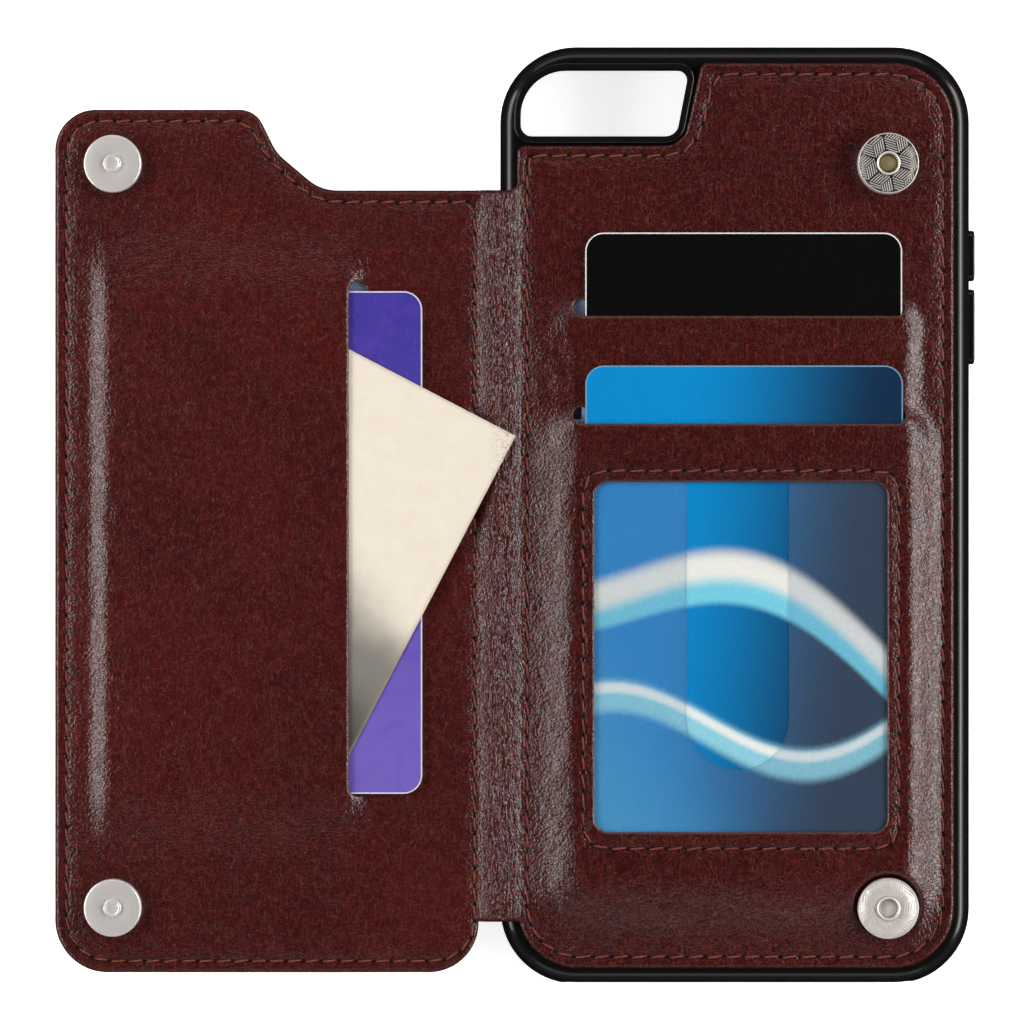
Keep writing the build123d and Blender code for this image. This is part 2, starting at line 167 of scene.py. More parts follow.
def resampled(path, step):
    """A closed path with evenly spaced points, about step apart."""
    closed = np.vstack([path, path[:1]])
    lengths = np.linalg.norm(np.diff(closed, axis=0), axis=1)
    along = np.concatenate([[0], np.cumsum(lengths)])
    count = max(8, round(along[-1] / step))
    places = np.arange(count) * along[-1] / count
    return np.column_stack([np.interp(places, along, closed[:, k]) for k in (0, 1)])


def inset(path, distance):
    """A closed anticlockwise path moved inwards by a small distance."""
    tangent = np.roll(path, -1, axis=0) - np.roll(path, 1, axis=0)
    tangent /= np.maximum(np.linalg.norm(tangent, axis=1), 1e-9)[:, None]
    return path + np.column_stack([-tangent[:, 1], tangent[:, 0]]) * distance


def inside(points, path):
    """Which points lie inside a closed path."""
    result = np.zeros(len(points), bool)
    x, y = points[:, 0], points[:, 1]
    for (x0, y0), (x1, y1) in zip(path, np.roll(path, -1, axis=0)):
        if y0 != y1:
            crosses = (y0 > y) != (y1 > y)
            result ^= crosses & (x < (x1 - x0) * (y - y0) / (y1 - y0) + x0)
    return result


def grid_points(xs, ys):
    """Every pair of an x and a y, row by row."""
    gx, gy = np.meshgrid(xs, ys)
    return np.column_stack([gx.ravel(), gy.ravel()])


def tree_of(places):
    """A search tree over some places."""
    tree = kdtree.KDTree(len(places))
    for i, (x, y) in enumerate(places):
        tree.insert((x, y, 0), i)
    tree.balance()
    return tree


def nearest_gap(x, y, places):
    """Distance from each point to the nearest of some places."""
    tree = tree_of(places)
    return np.array([tree.find((px, py, 0))[2] for px, py in zip(x, y)])


class Distance:
    """Distance from points to the nearest of some closed paths."""

    def __init__(self, *paths):
        dense = [resampled(path, 0.3) for path in paths]
        self.points = np.vstack(dense)
        self.beside = [
            np.vstack([np.roll(path, turn, axis=0) for path in dense]) for turn in (-1, 1)
        ]
        self.tree = tree_of(self.points)

    def __call__(self, x, y):
        nearest = np.array([self.tree.find((px, py, 0))[1] for px, py in zip(x, y)])
        p = np.column_stack([x, y])
        best = np.full(len(p), np.inf)
        for beside in self.beside:
            a, b = self.points[nearest], beside[nearest]
            t = ((p - a) * (b - a)).sum(1) / np.maximum(((b - a) ** 2).sum(1), 1e-12)
            gap = np.linalg.norm(p - (a + np.clip(t, 0, 1)[:, None] * (b - a)), axis=1)
            best = np.minimum(best, gap)
        return best


def ramp(low, high, value):
    """0 at low and 1 at high, smooth between and level beyond. low may be the greater."""
    t = np.clip((value - low) / (high - low), 0, 1)
    return t * t * (3 - 2 * t)


def mixed(a, b, share):
    """a where share is 0 and b where it is 1."""
    return a * (1 - share) + b * share


def past(distance):
    """A distance that counts only where it is positive."""
    return np.maximum(0, distance)


def drape(t):
    """The fall of leather over an edge: 1 at t = 0, 0 at t = 1, steep in the middle."""
    return 1 - ramp(0, 1, t)


def peak(distance, width):
    """A soft bump of height 1 at distance 0."""
    return np.exp(-((distance / width) ** 2))


class Waves:
    """Smooth repeatable unevenness: a sum of plane waves with values near -1 to 1."""

    def __init__(self, seed, shortest, longest, count=26, stretch=1.0):
        rng = random.Random(seed)
        self.terms = []
        for _ in range(count):
            length = math.exp(rng.uniform(math.log(shortest), math.log(longest)))
            angle = rng.uniform(0, 2 * math.pi)
            k = 2 * math.pi / length
            strength = (length / longest) ** 0.5
            phase = rng.uniform(0, 2 * math.pi)
            self.terms.append((k * math.cos(angle), k * math.sin(angle) / stretch, phase, strength))
        self.total = math.sqrt(sum(term[3] ** 2 for term in self.terms))

    def __call__(self, x, y):
        total = sum(s * np.sin(kx * x + ky * y + phase) for kx, ky, phase, s in self.terms)
        return np.clip(total / self.total * 0.8, -1, 1)


# -------------------------------- outlines

def panel_corners(tab_x):
    """The panel's outline with the spine's tab reaching left to tab_x."""
    w, h, r = PANEL_HALF_WIDTH, PANEL_HALF_LENGTH, PANEL_CORNER
    low, high = SPINE_LOW[1], SPINE_HIGH[1]
    centre = (-w + r, -h + r)
    start = 180 + math.degrees(math.asin((centre[1] - low) / r))
    arc = [math.radians(start + (270 - start) * k / 14) for k in range(15)]
    return [
        (tab_x, high, 0),
        (tab_x, low, 0),
        *[(centre[0] + r * math.cos(a), centre[1] + r * math.sin(a), 0) for a in arc],
        (w, -h, r),
        (w, h, r),
        (-5.9, h, 1.4),
        (-9.1, NOTCH_Y, 4.0),
        (-w, NOTCH_Y, 1.4),
        (-w, high, 1.6),
    ]


def flap_corners(tab_x):
    """The flap's outline with the spine's tab reaching right to tab_x."""
    left, bottom, right, top = OUTER_LOW[0], OUTER_LOW[1], OUTER_HIGH[0], OUTER_HIGH[1]
    low, high = SPINE_LOW[1], SPINE_HIGH[1]
    return [
        (left, top, 7.0),
        (left, bottom, 9.0),
        (right, bottom, 8.5),
        (right, low, 0),
        (tab_x, low, 0),
        (tab_x, high, 0),
        (-70.8, high, 7.5),
        (-78.4, 61.9, 8.0),
        (-82.0, top, 4.3),
    ]


def strip_corners(beyond):
    """The spine's back strip next to the case, longer by beyond to the left and right."""
    right = node_box("panel_board")[0][0] - 0.1
    return rectangle(SPINE_X - beyond, SPINE_LOW[1], right + beyond, SPINE_HIGH[1], 0, 0)


def obround(x, y, width, height):
    """A slot's outline."""
    r = min(width, height) / 2 - 1e-3
    half_w, half_h = width / 2, height / 2
    return rounded_path(rectangle(x - half_w, y - half_h, x + half_w, y + half_h, r, r), 0.5)


def panel_seam_corners():
    w, h = PANEL_HALF_WIDTH - 2.0, PANEL_HALF_LENGTH - 2.0
    left, shoulder = -w - 0.3, NOTCH_Y - 1.8
    return [
        (left, -h, 8.6), (w, -h, 8.6), (w, h, 8.6), (-3.6, h, 0.9), (-6.9, shoulder, 6.2),
        (left, shoulder, 0.9),
    ]


def window_seam_corners():
    x0, y0, x1, y1 = WINDOW
    return rectangle(x0 - 1.9, y0 - 2.8, x1 + 1.9, y1 + 1.9, 3.4, 3.0)


def flap_seam_corners():
    left, bottom, top = OUTER_LOW[0] + 2.0, OUTER_LOW[1] + 2.0, OUTER_HIGH[1] - 2.0
    right, shoulder = CREASE_FLAP_X - 1.4, SPINE_HIGH[1] - 2.0
    return [
        (left, top, 5.2), (left, bottom, 7.2), (right, bottom, 6.8), (right, shoulder, 1.2),
        (-71.6, shoulder, 9.3), (-79.9, 60.9, 9.5), (-83.3, top, 2.6),
    ]


class Seam:
    """A line of stitches: its path, its needle holes and the dimple it pulls."""

    def __init__(self, corners, pitch):
        self.path = rounded_path(corners)
        self.holes = resampled(self.path, pitch)
        self.distance = Distance(self.path)

    def dimple(self, x, y):
        """How far the leather is pulled down along the seam and at the holes."""
        line = self.distance(x, y)
        groove = 0.1 * peak(line, 0.4) + 0.22 * peak(line, 1.4)
        return np.minimum(groove + 0.24 * peak(nearest_gap(x, y, self.holes), 0.24), 0.44)

    def ribbon(self):
        """Extra mesh points that let the dimples show."""
        dense = resampled(self.path, 0.34)
        offsets = (-0.95, -0.5, -0.22, 0, 0.22, 0.5, 0.95)
        return np.vstack([inset(dense, offset) for offset in offsets])


PANEL_SEAM = Seam(panel_seam_corners(), 3.2)
WINDOW_SEAM = Seam(window_seam_corners(), 3.2)
FLAP_SEAM = Seam(flap_seam_corners(), 3.0)
SEAMS = (PANEL_SEAM, WINDOW_SEAM, FLAP_SEAM)


# -------------------------------- heights

SLOW = Waves(SEED, 9, 38)
QUICK = Waves(SEED + 1, 2.2, 7, count=34, stretch=1.6)


def unevenness(x, y):
    """Gentle unevenness of the leather, never upwards."""
    return -0.05 + 0.03 * SLOW(x, y) + 0.014 * QUICK(x, y)


def rippled(x, y, share):
    """Small ripples on the leather's slopes, where share is between 0 and 1."""
    return 0.3 * share * (1 - share) * (0.6 * QUICK(x, y) + 0.5 * SLOW(x * 3, y * 2))


def beyond_slot(x, centre, length):
    """0 beside the slot's middle and 1 well past its ends."""
    return ramp(length / 2 - 0.5, length / 2 + 5.5, np.abs(x - centre))


def before_slot(y, centre, beyond, low_reach, high_reach):
    """1 before a slot and 0 after it, and softer beyond its ends."""
    half = SLOT_WIDTH / 2
    return 1 - ramp(centre - half - low_reach * beyond, centre + half + high_reach * beyond, y)


def panel_bulge(x, y):
    """Rise of the panel's leather over the two cards."""
    low, high = BLUE_CARD
    beyond = beyond_slot(x, SLOT_X, SLOT_LENGTH)
    upper = before_slot(y, UPPER_SLOT_Y, beyond, 4, 1.5)
    lower = before_slot(y, LOWER_SLOT_Y, beyond, 4, 1.5)
    left = past((low[0] - 0.1 - x) / 9.8)
    right = past((x - high[0] - 0.2) / (4.1 + 2.8 * lower))
    flank = drape(np.hypot(left + right, past((low[1] - 0.5 - y) / 14.0)))
    snap = np.hypot(x - SNAP_PLACES[1][0], y - SNAP_PLACES[1][1])
    clear = ramp(CAP_RADIUS - 0.5, CAP_RADIUS + 1.2, snap)
    step_up = (MIDDLE_BAND_TOP - FACE) * upper + (LOW_BAND_TOP - MIDDLE_BAND_TOP) * lower
    return step_up * flank * clear + rippled(x, y, flank * upper)


def flap_bulge(x, y):
    """Rise of the flap's inner leather over its card."""
    low, high = PURPLE_CARD
    beyond = beyond_slot(y, FLAP_SLOT_Y, FLAP_SLOT_LENGTH)
    steep = 0.7 * drape(past((low[0] + 0.7 - x) / 3.9))
    gentle = 0.3 * drape(past((low[0] + 4.9 - x) / 13.0))
    ends = past((y - high[1] + 2.0) / 15.0) + past((low[1] + 2.0 - y) / 15.0)
    share = before_slot(x, FLAP_SLOT_X, beyond, 3, 3) * (steep + gentle) * drape(ends)
    return (FLAP_POCKET_TOP - FACE) * share + rippled(x, y, share)


def spine_dip(x):
    """0 on the panel and the flap, 1 between the seams beside the spine."""
    after_flap = ramp(CREASE_FLAP_X - 1.2, CREASE_FLAP_X + 0.6, x)
    return after_flap * ramp(CREASE_CASE_X + 1.2, CREASE_CASE_X - 0.4, x)


def rolled(distance, radius):
    """How far a rounded edge has fallen at some distance in from it."""
    reach = np.clip(radius - distance, 0, radius)
    return radius - np.sqrt(np.maximum(radius**2 - reach**2, 0))


def spine_shape(x, y):
    """Soft folds in the spine, in millimetres above its flat height."""
    arch = 1 - ((x - SPINE_X) / 3.4) ** 2
    return 0.8 * np.clip(arch, 0, 1) - 0.05 + 0.07 * QUICK(x * 2.4, y)


def spine_back(x, y):
    """Height of the spine's lower face."""
    return SPINE_BACK + HAIR - 0.08 * QUICK(x * 2.2, y)


class Sheet:
    """A leather sheet: its outline, its holes, and its edge without the spine's end."""

    def __init__(self, corners, wide_corners, holes=(), step=0.9):
        self.outline = rounded_path(corners, step)
        self.edge = Distance(rounded_path(wide_corners))
        self.holes = list(holes)
        self.hole_edge = Distance(*holes) if holes else None

    def turned(self, x, y, flat, rim):
        """flat, but rim where the edge is turned over."""
        return mixed(flat, rim, ramp(0.72, 0.35, self.edge(x, y)))


class FaceSheet(Sheet):
    """A skin that is seen from above, with the half of the spine next to it."""

    def __init__(self, corners, wide_corners, holes, bulge, seams, edge_round, tab, rim):
        super().__init__(corners, wide_corners, holes)
        self.bulge, self.seams, self.edge_round = bulge, seams, edge_round
        self.tab, self.rim = tab, rim

    def top(self, x, y):
        z = FACE + unevenness(x, y) + self.bulge(x, y)
        for seam in self.seams:
            z = z - seam.dimple(x, y)
        z = mixed(z, SPINE_HIGH[2] + spine_shape(x, y), spine_dip(x))
        z = z - rolled(self.edge(x, y), self.edge_round)
        return z - rolled(self.hole_edge(x, y), HOLE_ROUND)

    def bottom(self, x, y, top):
        tab = ramp(*self.tab, x)
        under = top + rolled(self.hole_edge(x, y), HOLE_ROUND) - mixed(LEATHER, SPINE_LEATHER, tab)
        under = np.clip(under, SKIN_Z + HAIR, LOW_BAND_TOP)
        rim = mixed(self.rim, SPINE_LOW[2], tab) + HAIR
        return np.minimum(self.turned(x, y, under, rim), top - THINNEST)


class FlapOuter(Sheet):
    """The flap's outer skin with the half of the spine next to it."""

    def rise(self, x):
        """0 on the flap and 1 on the spine."""
        return ramp(CREASE_FLAP_X - 1.5, CREASE_FLAP_X - 0.1, x)

    def bottom(self, x, y, top=None):
        rise = self.rise(x)
        z = OUTER_LOW[2] - unevenness(x, y) + FLAP_SEAM.dimple(x, y) * (1 - rise)
        return mixed(z, spine_back(x, y), rise) + rolled(self.edge(x, y), FLAP_ROUND)

    def top(self, x, y):
        rise, spine = self.rise(x), SPINE_LOW[2] - HAIR
        flat = mixed(OUTER_HIGH[2] - HAIR, spine, rise)
        rim = mixed(FLAP_MIDDLE - HAIR / 2, spine, rise)
        return np.maximum(self.turned(x, y, flat, rim), self.bottom(x, y) + THINNEST)


class SpineStrip(Sheet):
    """The outer layer of the spine's half next to the case."""

    def bottom(self, x, y, top=None):
        return spine_back(x, y) + rolled(self.edge(x, y), 0.4)

    def top(self, x, y):
        return np.maximum(SPINE_LOW[2] - HAIR, self.bottom(x, y) + HAIR)


BEYOND = 30  # how far the spine's end is moved out of the way of a sheet's edge
SLOTS = [obround(SLOT_X, y, SLOT_LENGTH, SLOT_WIDTH) for y in (UPPER_SLOT_Y, LOWER_SLOT_Y)]
FLAP_SLOT = obround(FLAP_SLOT_X, FLAP_SLOT_Y, SLOT_WIDTH, FLAP_SLOT_LENGTH)
WINDOW_HOLE = rounded_path(rectangle(*WINDOW, WINDOW_CORNER, WINDOW_CORNER), 0.8)
PANEL = FaceSheet(
    panel_corners(SPINE_X), panel_corners(SPINE_X - BEYOND), SLOTS + [WINDOW_HOLE],
    panel_bulge, (PANEL_SEAM, WINDOW_SEAM), PANEL_ROUND,
    tab=(CREASE_CASE_X + 0.2, CREASE_CASE_X - 0.3), rim=SHELL_TOP,
)
FLAP_INNER = FaceSheet(
    flap_corners(SPINE_X), flap_corners(SPINE_X + BEYOND), [FLAP_SLOT],
    flap_bulge, (FLAP_SEAM,), FLAP_ROUND,
    tab=(CREASE_FLAP_X - 0.2, CREASE_FLAP_X + 0.3), rim=FLAP_MIDDLE,
)
FLAP_OUTER = FlapOuter(flap_corners(SPINE_X), flap_corners(SPINE_X + BEYOND))
SPINE_STRIP = SpineStrip(strip_corners(0), strip_corners(BEYOND), step=0.6)


# -------------------------------- meshes

def linked(name, data):
    """A new object in the scene."""
    obj = bpy.data.objects.new(name, data)
    bpy.context.scene.collection.objects.link(obj)
    return obj


def mesh_object(name, vertices, faces, smooth=True):
    """An object from millimetre vertices."""
    mesh = bpy.data.meshes.new(name)
    mesh.from_pydata([tuple(v) for v in np.asarray(vertices, float) * MM], [], faces)
    mesh.validate()
    mesh.update()
    mesh.polygons.foreach_set("use_smooth", [smooth] * len(mesh.polygons))
    return linked(name, mesh)


def fix_normals(obj):
    """Turns every face outwards."""
    mesh = bmesh.new()
    mesh.from_mesh(obj.data)
    bmesh.ops.recalc_face_normals(mesh, faces=mesh.faces)
    mesh.to_mesh(obj.data)
    mesh.free()
    obj.data.update()
    return obj


def add_values(obj, name, values):
    """A named value per vertex, read by the materials."""
    attribute = obj.data.attributes.new(name, "FLOAT", "POINT")
    attribute.data.foreach_set("value", np.asarray(values, np.float32))


def add_rest(obj):
    """Each vertex's place at rest, in millimetres, so patterns stick to bending leather."""
    attribute = obj.data.attributes.new("rest", "FLOAT_VECTOR", "POINT")
    places = np.array([v.co for v in obj.data.vertices], np.float32) / MM
    attribute.data.foreach_set("vector", places.ravel())


def keep_apart(points, gap):
    """Drops points that fall within gap of an earlier one."""
    cells, kept = {}, []
    around = [(dx, dy) for dx in (-1, 0, 1) for dy in (-1, 0, 1)]
    for i, (x, y) in enumerate(points):
        cx, cy = int(x // gap), int(y // gap)
        near = [j for dx, dy in around for j in cells.get((cx + dx, cy + dy), ())]
        if all((points[j][0] - x) ** 2 + (points[j][1] - y) ** 2 >= gap * gap for j in near):
            cells.setdefault((cx, cy), []).append(i)
            kept.append(i)
    return points[kept]


EDGE_RINGS = (0.07, 0.18, 0.36, 0.62, 0.95)  # rows of points inside every edge
CLOSEST = 0.16  # least distance between the points of rows and ribbons


def fill_plan(outline, holes, spacing, extra):
    """Points and triangles that fill an outline around its holes."""
    loops = [outline] + holes
    gap_to_edge = Distance(*loops)

    def within(points):
        ok = inside(points, outline)
        for hole in holes:
            ok &= ~inside(points, hole)
        return ok

    def clear_of_edges(points, gap):
        points = points[within(points)]
        return points[gap_to_edge(points[:, 0], points[:, 1]) > gap]

    near = [extra]
    for loop in loops:
        sign, step = (1, 0.75) if loop is outline else (-1, 0.6)
        near += [inset(resampled(loop, step), sign * distance) for distance in EDGE_RINGS]
    fine = keep_apart(clear_of_edges(np.vstack(near), EDGE_RINGS[0] * 0.85), CLOSEST)
    low, high = outline.min(0), outline.max(0)
    xs = np.arange(low[0], high[0], spacing)
    ys = np.arange(low[1], high[1], spacing)
    grid = grid_points(xs, ys)
    grid[:, 0] += np.repeat(np.arange(len(ys)) % 2, len(xs)) * spacing / 2
    coarse = clear_of_edges(grid, EDGE_RINGS[-1] + spacing * 0.3)
    coarse = coarse[nearest_gap(coarse[:, 0], coarse[:, 1], fine) > spacing * 0.42]
    vertices, edges = [], []
    for loop in loops:
        start = len(vertices)
        vertices += [Vector(p) for p in loop]
        edges += [(start + k, start + (k + 1) % len(loop)) for k in range(len(loop))]
    vertices += [Vector(p) for p in np.vstack([fine, coarse])]
    flat, _, triangles, *_ = delaunay_2d_cdt(vertices, edges, [], 0, 1e-6, False)
    flat = np.array([tuple(v) for v in flat])
    triangles = np.array(triangles)
    triangles = triangles[within(flat[triangles].mean(1))]
    used, triangles = np.unique(triangles, return_inverse=True)
    return flat[used], triangles.reshape(-1, 3)


def closed_sheet(name, flat, faces, top, bottom):
    """A closed sheet between two heights, from the anticlockwise faces of its plan."""
    count = len(flat)
    sides = {}
    for face in faces:
        for p, q in zip(face, face[1:] + face[:1]):
            if not sides.pop((q, p), False):
                sides[(p, q)] = True
    below = [[p + count for p in reversed(face)] for face in faces]
    walls = [(q, p, p + count, q + count) for p, q in sides]
    vertices = np.vstack([np.column_stack([flat, z]) for z in (top, bottom)])
    obj = mesh_object(name, vertices, faces + below + walls)
    add_rest(obj)
    return obj


def sheet_object(name, sheet, spacing, extra):
    """A leather sheet with the values that its material reads."""
    flat, triangles = fill_plan(sheet.outline, sheet.holes, spacing, extra)
    x, y = flat.T
    top = sheet.top(x, y)
    a, b, c = (flat[corner] for corner in triangles.T)
    turn = (b[:, 0] - a[:, 0]) * (c[:, 1] - a[:, 1]) - (b[:, 1] - a[:, 1]) * (c[:, 0] - a[:, 0])
    triangles = np.where((turn > 0)[:, None], triangles, triangles[:, ::-1]).tolist()
    obj = closed_sheet(name, flat, triangles, top, sheet.bottom(x, y, top))
    cut = sheet.hole_edge(x, y) if sheet.holes else np.full(len(flat), 9.0)
    hole = np.min([nearest_gap(x, y, seam.holes) for seam in SEAMS], axis=0)
    line = np.min([seam.distance(x, y) for seam in SEAMS], axis=0)
    add_values(obj, "rim", np.tile(np.exp(-sheet.edge(x, y) / 0.5), 2))
    add_values(obj, "cut", np.concatenate([np.exp(-cut / 0.14), np.exp(-cut / 0.3)]))
    # hole: painted shade at each needle hole, which the mesh only dimples
    add_values(obj, "hole", np.tile(peak(hole, 0.46), 2))
    # groove: painted shade along the seam lines, darkest where they pull the leather down
    add_values(obj, "groove", np.tile(peak(line, 0.55), 2))
    add_values(obj, "spine", np.tile(spine_dip(x), 2))
    return obj


def crease_columns(x):
    """Columns of points across a crease, so that it bends evenly."""
    rows = np.arange(SPINE_LOW[1], SPINE_HIGH[1], 0.8)
    return grid_points(np.arange(x - 1.8, x + 1.81, 0.36), rows)


def snap_rings(places, radius):
    """Rings of points around the snaps."""
    rings = []
    for x, y in places:
        for out in (-0.3, 0, 0.25, 0.5, 0.8, 1.1, 1.4):
            r = radius + out
            angle = np.arange(0, 2 * math.pi, 0.5 / r)
            rings.append(np.column_stack([x + r * np.cos(angle), y + r * np.sin(angle)]))
    return np.vstack(rings)


def lathe(name, profile, places, segments=96):
    """Solids turned from a closed (radius, z) profile at each place. Radius 0 ends meet."""
    angles = [2 * math.pi * k / segments for k in range(segments)]
    vertices, faces = [], []
    for cx, cy in places:
        rows = []
        for r, z in profile:
            start = len(vertices)
            if r == 0:
                vertices.append((cx, cy, z))
                rows.append([start] * segments)
            else:
                vertices += [(cx + r * math.cos(a), cy + r * math.sin(a), z) for a in angles]
                rows.append(list(range(start, start + segments)))
        for row, after in zip(rows, rows[1:] + rows[:1]):
            for k in range(segments):
                n = (k + 1) % segments
                face = tuple(dict.fromkeys((row[k], row[n], after[n], after[k])))
                if len(face) > 2:
                    faces.append(face)
    return fix_normals(mesh_object(name, vertices, faces))


THREAD_RADIUS = 0.17
THREAD_LEAN = 7.0


def thread_object(name, seam, height, lift):
    """A row of stitches along a seam. lift is 1 above a surface and -1 below one."""
    rng = random.Random(SEED + 11)
    vertices, faces = [], []
    spans, sides = 9, 8
    for start, end in zip(seam.holes, np.roll(seam.holes, -1, axis=0)):
        along = end - start
        length = np.linalg.norm(along)
        along = along / length
        across = np.array([-along[1], along[0]])
        lean = math.radians(THREAD_LEAN + rng.uniform(-3, 3))
        fat = THREAD_RADIUS * rng.uniform(0.92, 1.08)
        high = rng.uniform(-0.03, 0.03)
        rows = []
        for k in range(spans):
            t = k / (spans - 1)
            s = (t - 0.5) * (length - 0.06)
            place = (start + end) / 2 + along * s + across * s * math.tan(lean)
            rows.append((place, math.sin(math.pi * t) ** 0.7))
        places = np.array([place for place, _ in rows])
        surface = height(places[:, 0], places[:, 1])
        base = surface[spans // 2]
        first = len(vertices)
        for (place, bow), ground in zip(rows, surface):
            z = min(ground, base + 0.1) if lift > 0 else max(ground, base - 0.1)
            z = z + lift * (-0.3 + (0.3 + 0.45 * THREAD_RADIUS) * bow + high * bow)
            thick = fat * (0.55 + 0.45 * bow)
            for j in range(sides):
                angle = 2 * math.pi * j / sides
                side = place + across * math.cos(angle) * thick
                vertices.append((side[0], side[1], z + math.sin(angle) * thick))
        for a in range(first, len(vertices) - sides, sides):
            turns = [(j, (j + 1) % sides) for j in range(sides)]
            faces += [(a + sides + j, a + sides + n, a + n, a + j) for j, n in turns]
        last = len(vertices) - sides
        faces.append(tuple(range(first, first + sides)))
        faces.append(tuple(range(last + sides - 1, last - 1, -1)))
    obj = fix_normals(mesh_object(name, vertices, faces))
    add_rest(obj)
    return obj


# -------------------------------- materials

class Nodes:
    """Short names for building a node tree."""

    def __init__(self, owner, output):
        self.owner = owner
        owner.use_nodes = True
        self.tree = owner.node_tree
        self.tree.nodes.clear()
        self.out = self.node(output)

    def node(self, kind, *values, **settings):
        """A node with inputs set in order or by name, and its properties by name."""
        node = self.tree.nodes.new("ShaderNode" + kind)
        for key, value in settings.items():
            name = key.replace("_", " ")
            if name in node.inputs:
                self.plug(value, node.inputs[name])
            else:
                setattr(node, key, value)
        for value, socket in zip(values, node.inputs):
            self.plug(value, socket)
        return node

    def plug(self, value, socket):
        """Links or sets an input. A node stands for its first output."""
        if hasattr(value, "outputs"):
            value = value.outputs[0]
        if isinstance(value, bpy.types.NodeSocket):
            self.tree.links.new(value, socket)
        elif isinstance(value, tuple) and len(socket.default_value) > len(value):
            socket.default_value = (*value, 1.0)
        else:
            socket.default_value = value

    def math(self, operation, *values):
        return self.node("Math", *values, operation=operation).outputs[0]

    mul = partialmethod(math, "MULTIPLY")
    add = partialmethod(math, "ADD")
    sub = partialmethod(math, "SUBTRACT")

    def scale(self, vector, x, y, z):
        return self.node("VectorMath", vector, (x, y, z), operation="MULTIPLY").outputs[0]

    def shift(self, vector, color, amount):
        """A vector moved by a colour times an amount."""
        step = self.scale(color, amount, amount, amount)
        return self.node("VectorMath", vector, step, operation="ADD").outputs[0]

    def attribute(self, name, output="Fac"):
        return self.node("Attribute", attribute_name=name).outputs[output]

    def rest(self):
        """The point's place on the unbent piece, in millimetres."""
        return self.attribute("rest", "Vector")

    def place(self):
        """The point in the object's own frame, in millimetres."""
        return self.scale(self.node("TexCoord").outputs["Object"], 1 / MM, 1 / MM, 1 / MM)

    def parts(self, vector):
        """The x, y and z of a vector."""
        return self.node("SeparateXYZ", vector).outputs[:]

    def facing_up(self):
        """1 on level faces, 0 on upright ones."""
        normal = self.node("TexCoord").outputs["Normal"]
        return self.math("ABSOLUTE", self.parts(normal)[2])

    def noise(self, vector, scale, detail, roughness=0.55, distortion=0.0, output="Fac"):
        return self.node(
            "TexNoise", Vector=vector, Scale=scale, Detail=detail,
            Roughness=roughness, Distortion=distortion,
        ).outputs[output]

    def cells(self, vector, scale):
        """Distance to the edges of irregular cells."""
        return self.node(
            "TexVoronoi", feature="DISTANCE_TO_EDGE", Vector=vector, Scale=scale
        ).outputs["Distance"]

    def fade(self, value, low, high, at_low, at_high):
        """at_low below low and at_high above high, smooth between."""
        return self.node(
            "MapRange", interpolation_type="SMOOTHSTEP", Value=value,
            From_Min=low, From_Max=high, To_Min=at_low, To_Max=at_high,
        ).outputs[0]

    def step(self, low, high, value):
        """0 below low and 1 above high, or the reverse if low is above high."""
        if low < high:
            return self.fade(value, low, high, 0.0, 1.0)
        return self.fade(value, high, low, 1.0, 0.0)

    def mix(self, factor, a, b):
        node = self.node("Mix", factor, data_type="RGBA")
        self.plug(a, node.inputs[6])
        self.plug(b, node.inputs[7])
        return node.outputs[2]

    def layers(self, color, *rows):
        """A colour under layers of (mask, strength, colour)."""
        for mask, strength, layer in rows:
            color = self.mix(self.mul(mask, strength), color, layer)
        return color

    def bump(self, height, strength, distance, **normal):
        return self.node(
            "Bump", Height=height, Strength=strength, Distance=distance * MM, **normal
        ).outputs[0]

    def surface(self, shader):
        """Joins a shader to the output, and returns what owns the nodes."""
        self.plug(shader, self.out.inputs["Surface"])
        return self.owner

    def finish(self, **inputs):
        """A Principled surface with these inputs."""
        return self.surface(self.node("BsdfPrincipled", **inputs))


def new_material(name):
    return Nodes(bpy.data.materials.new(name), "OutputMaterial")


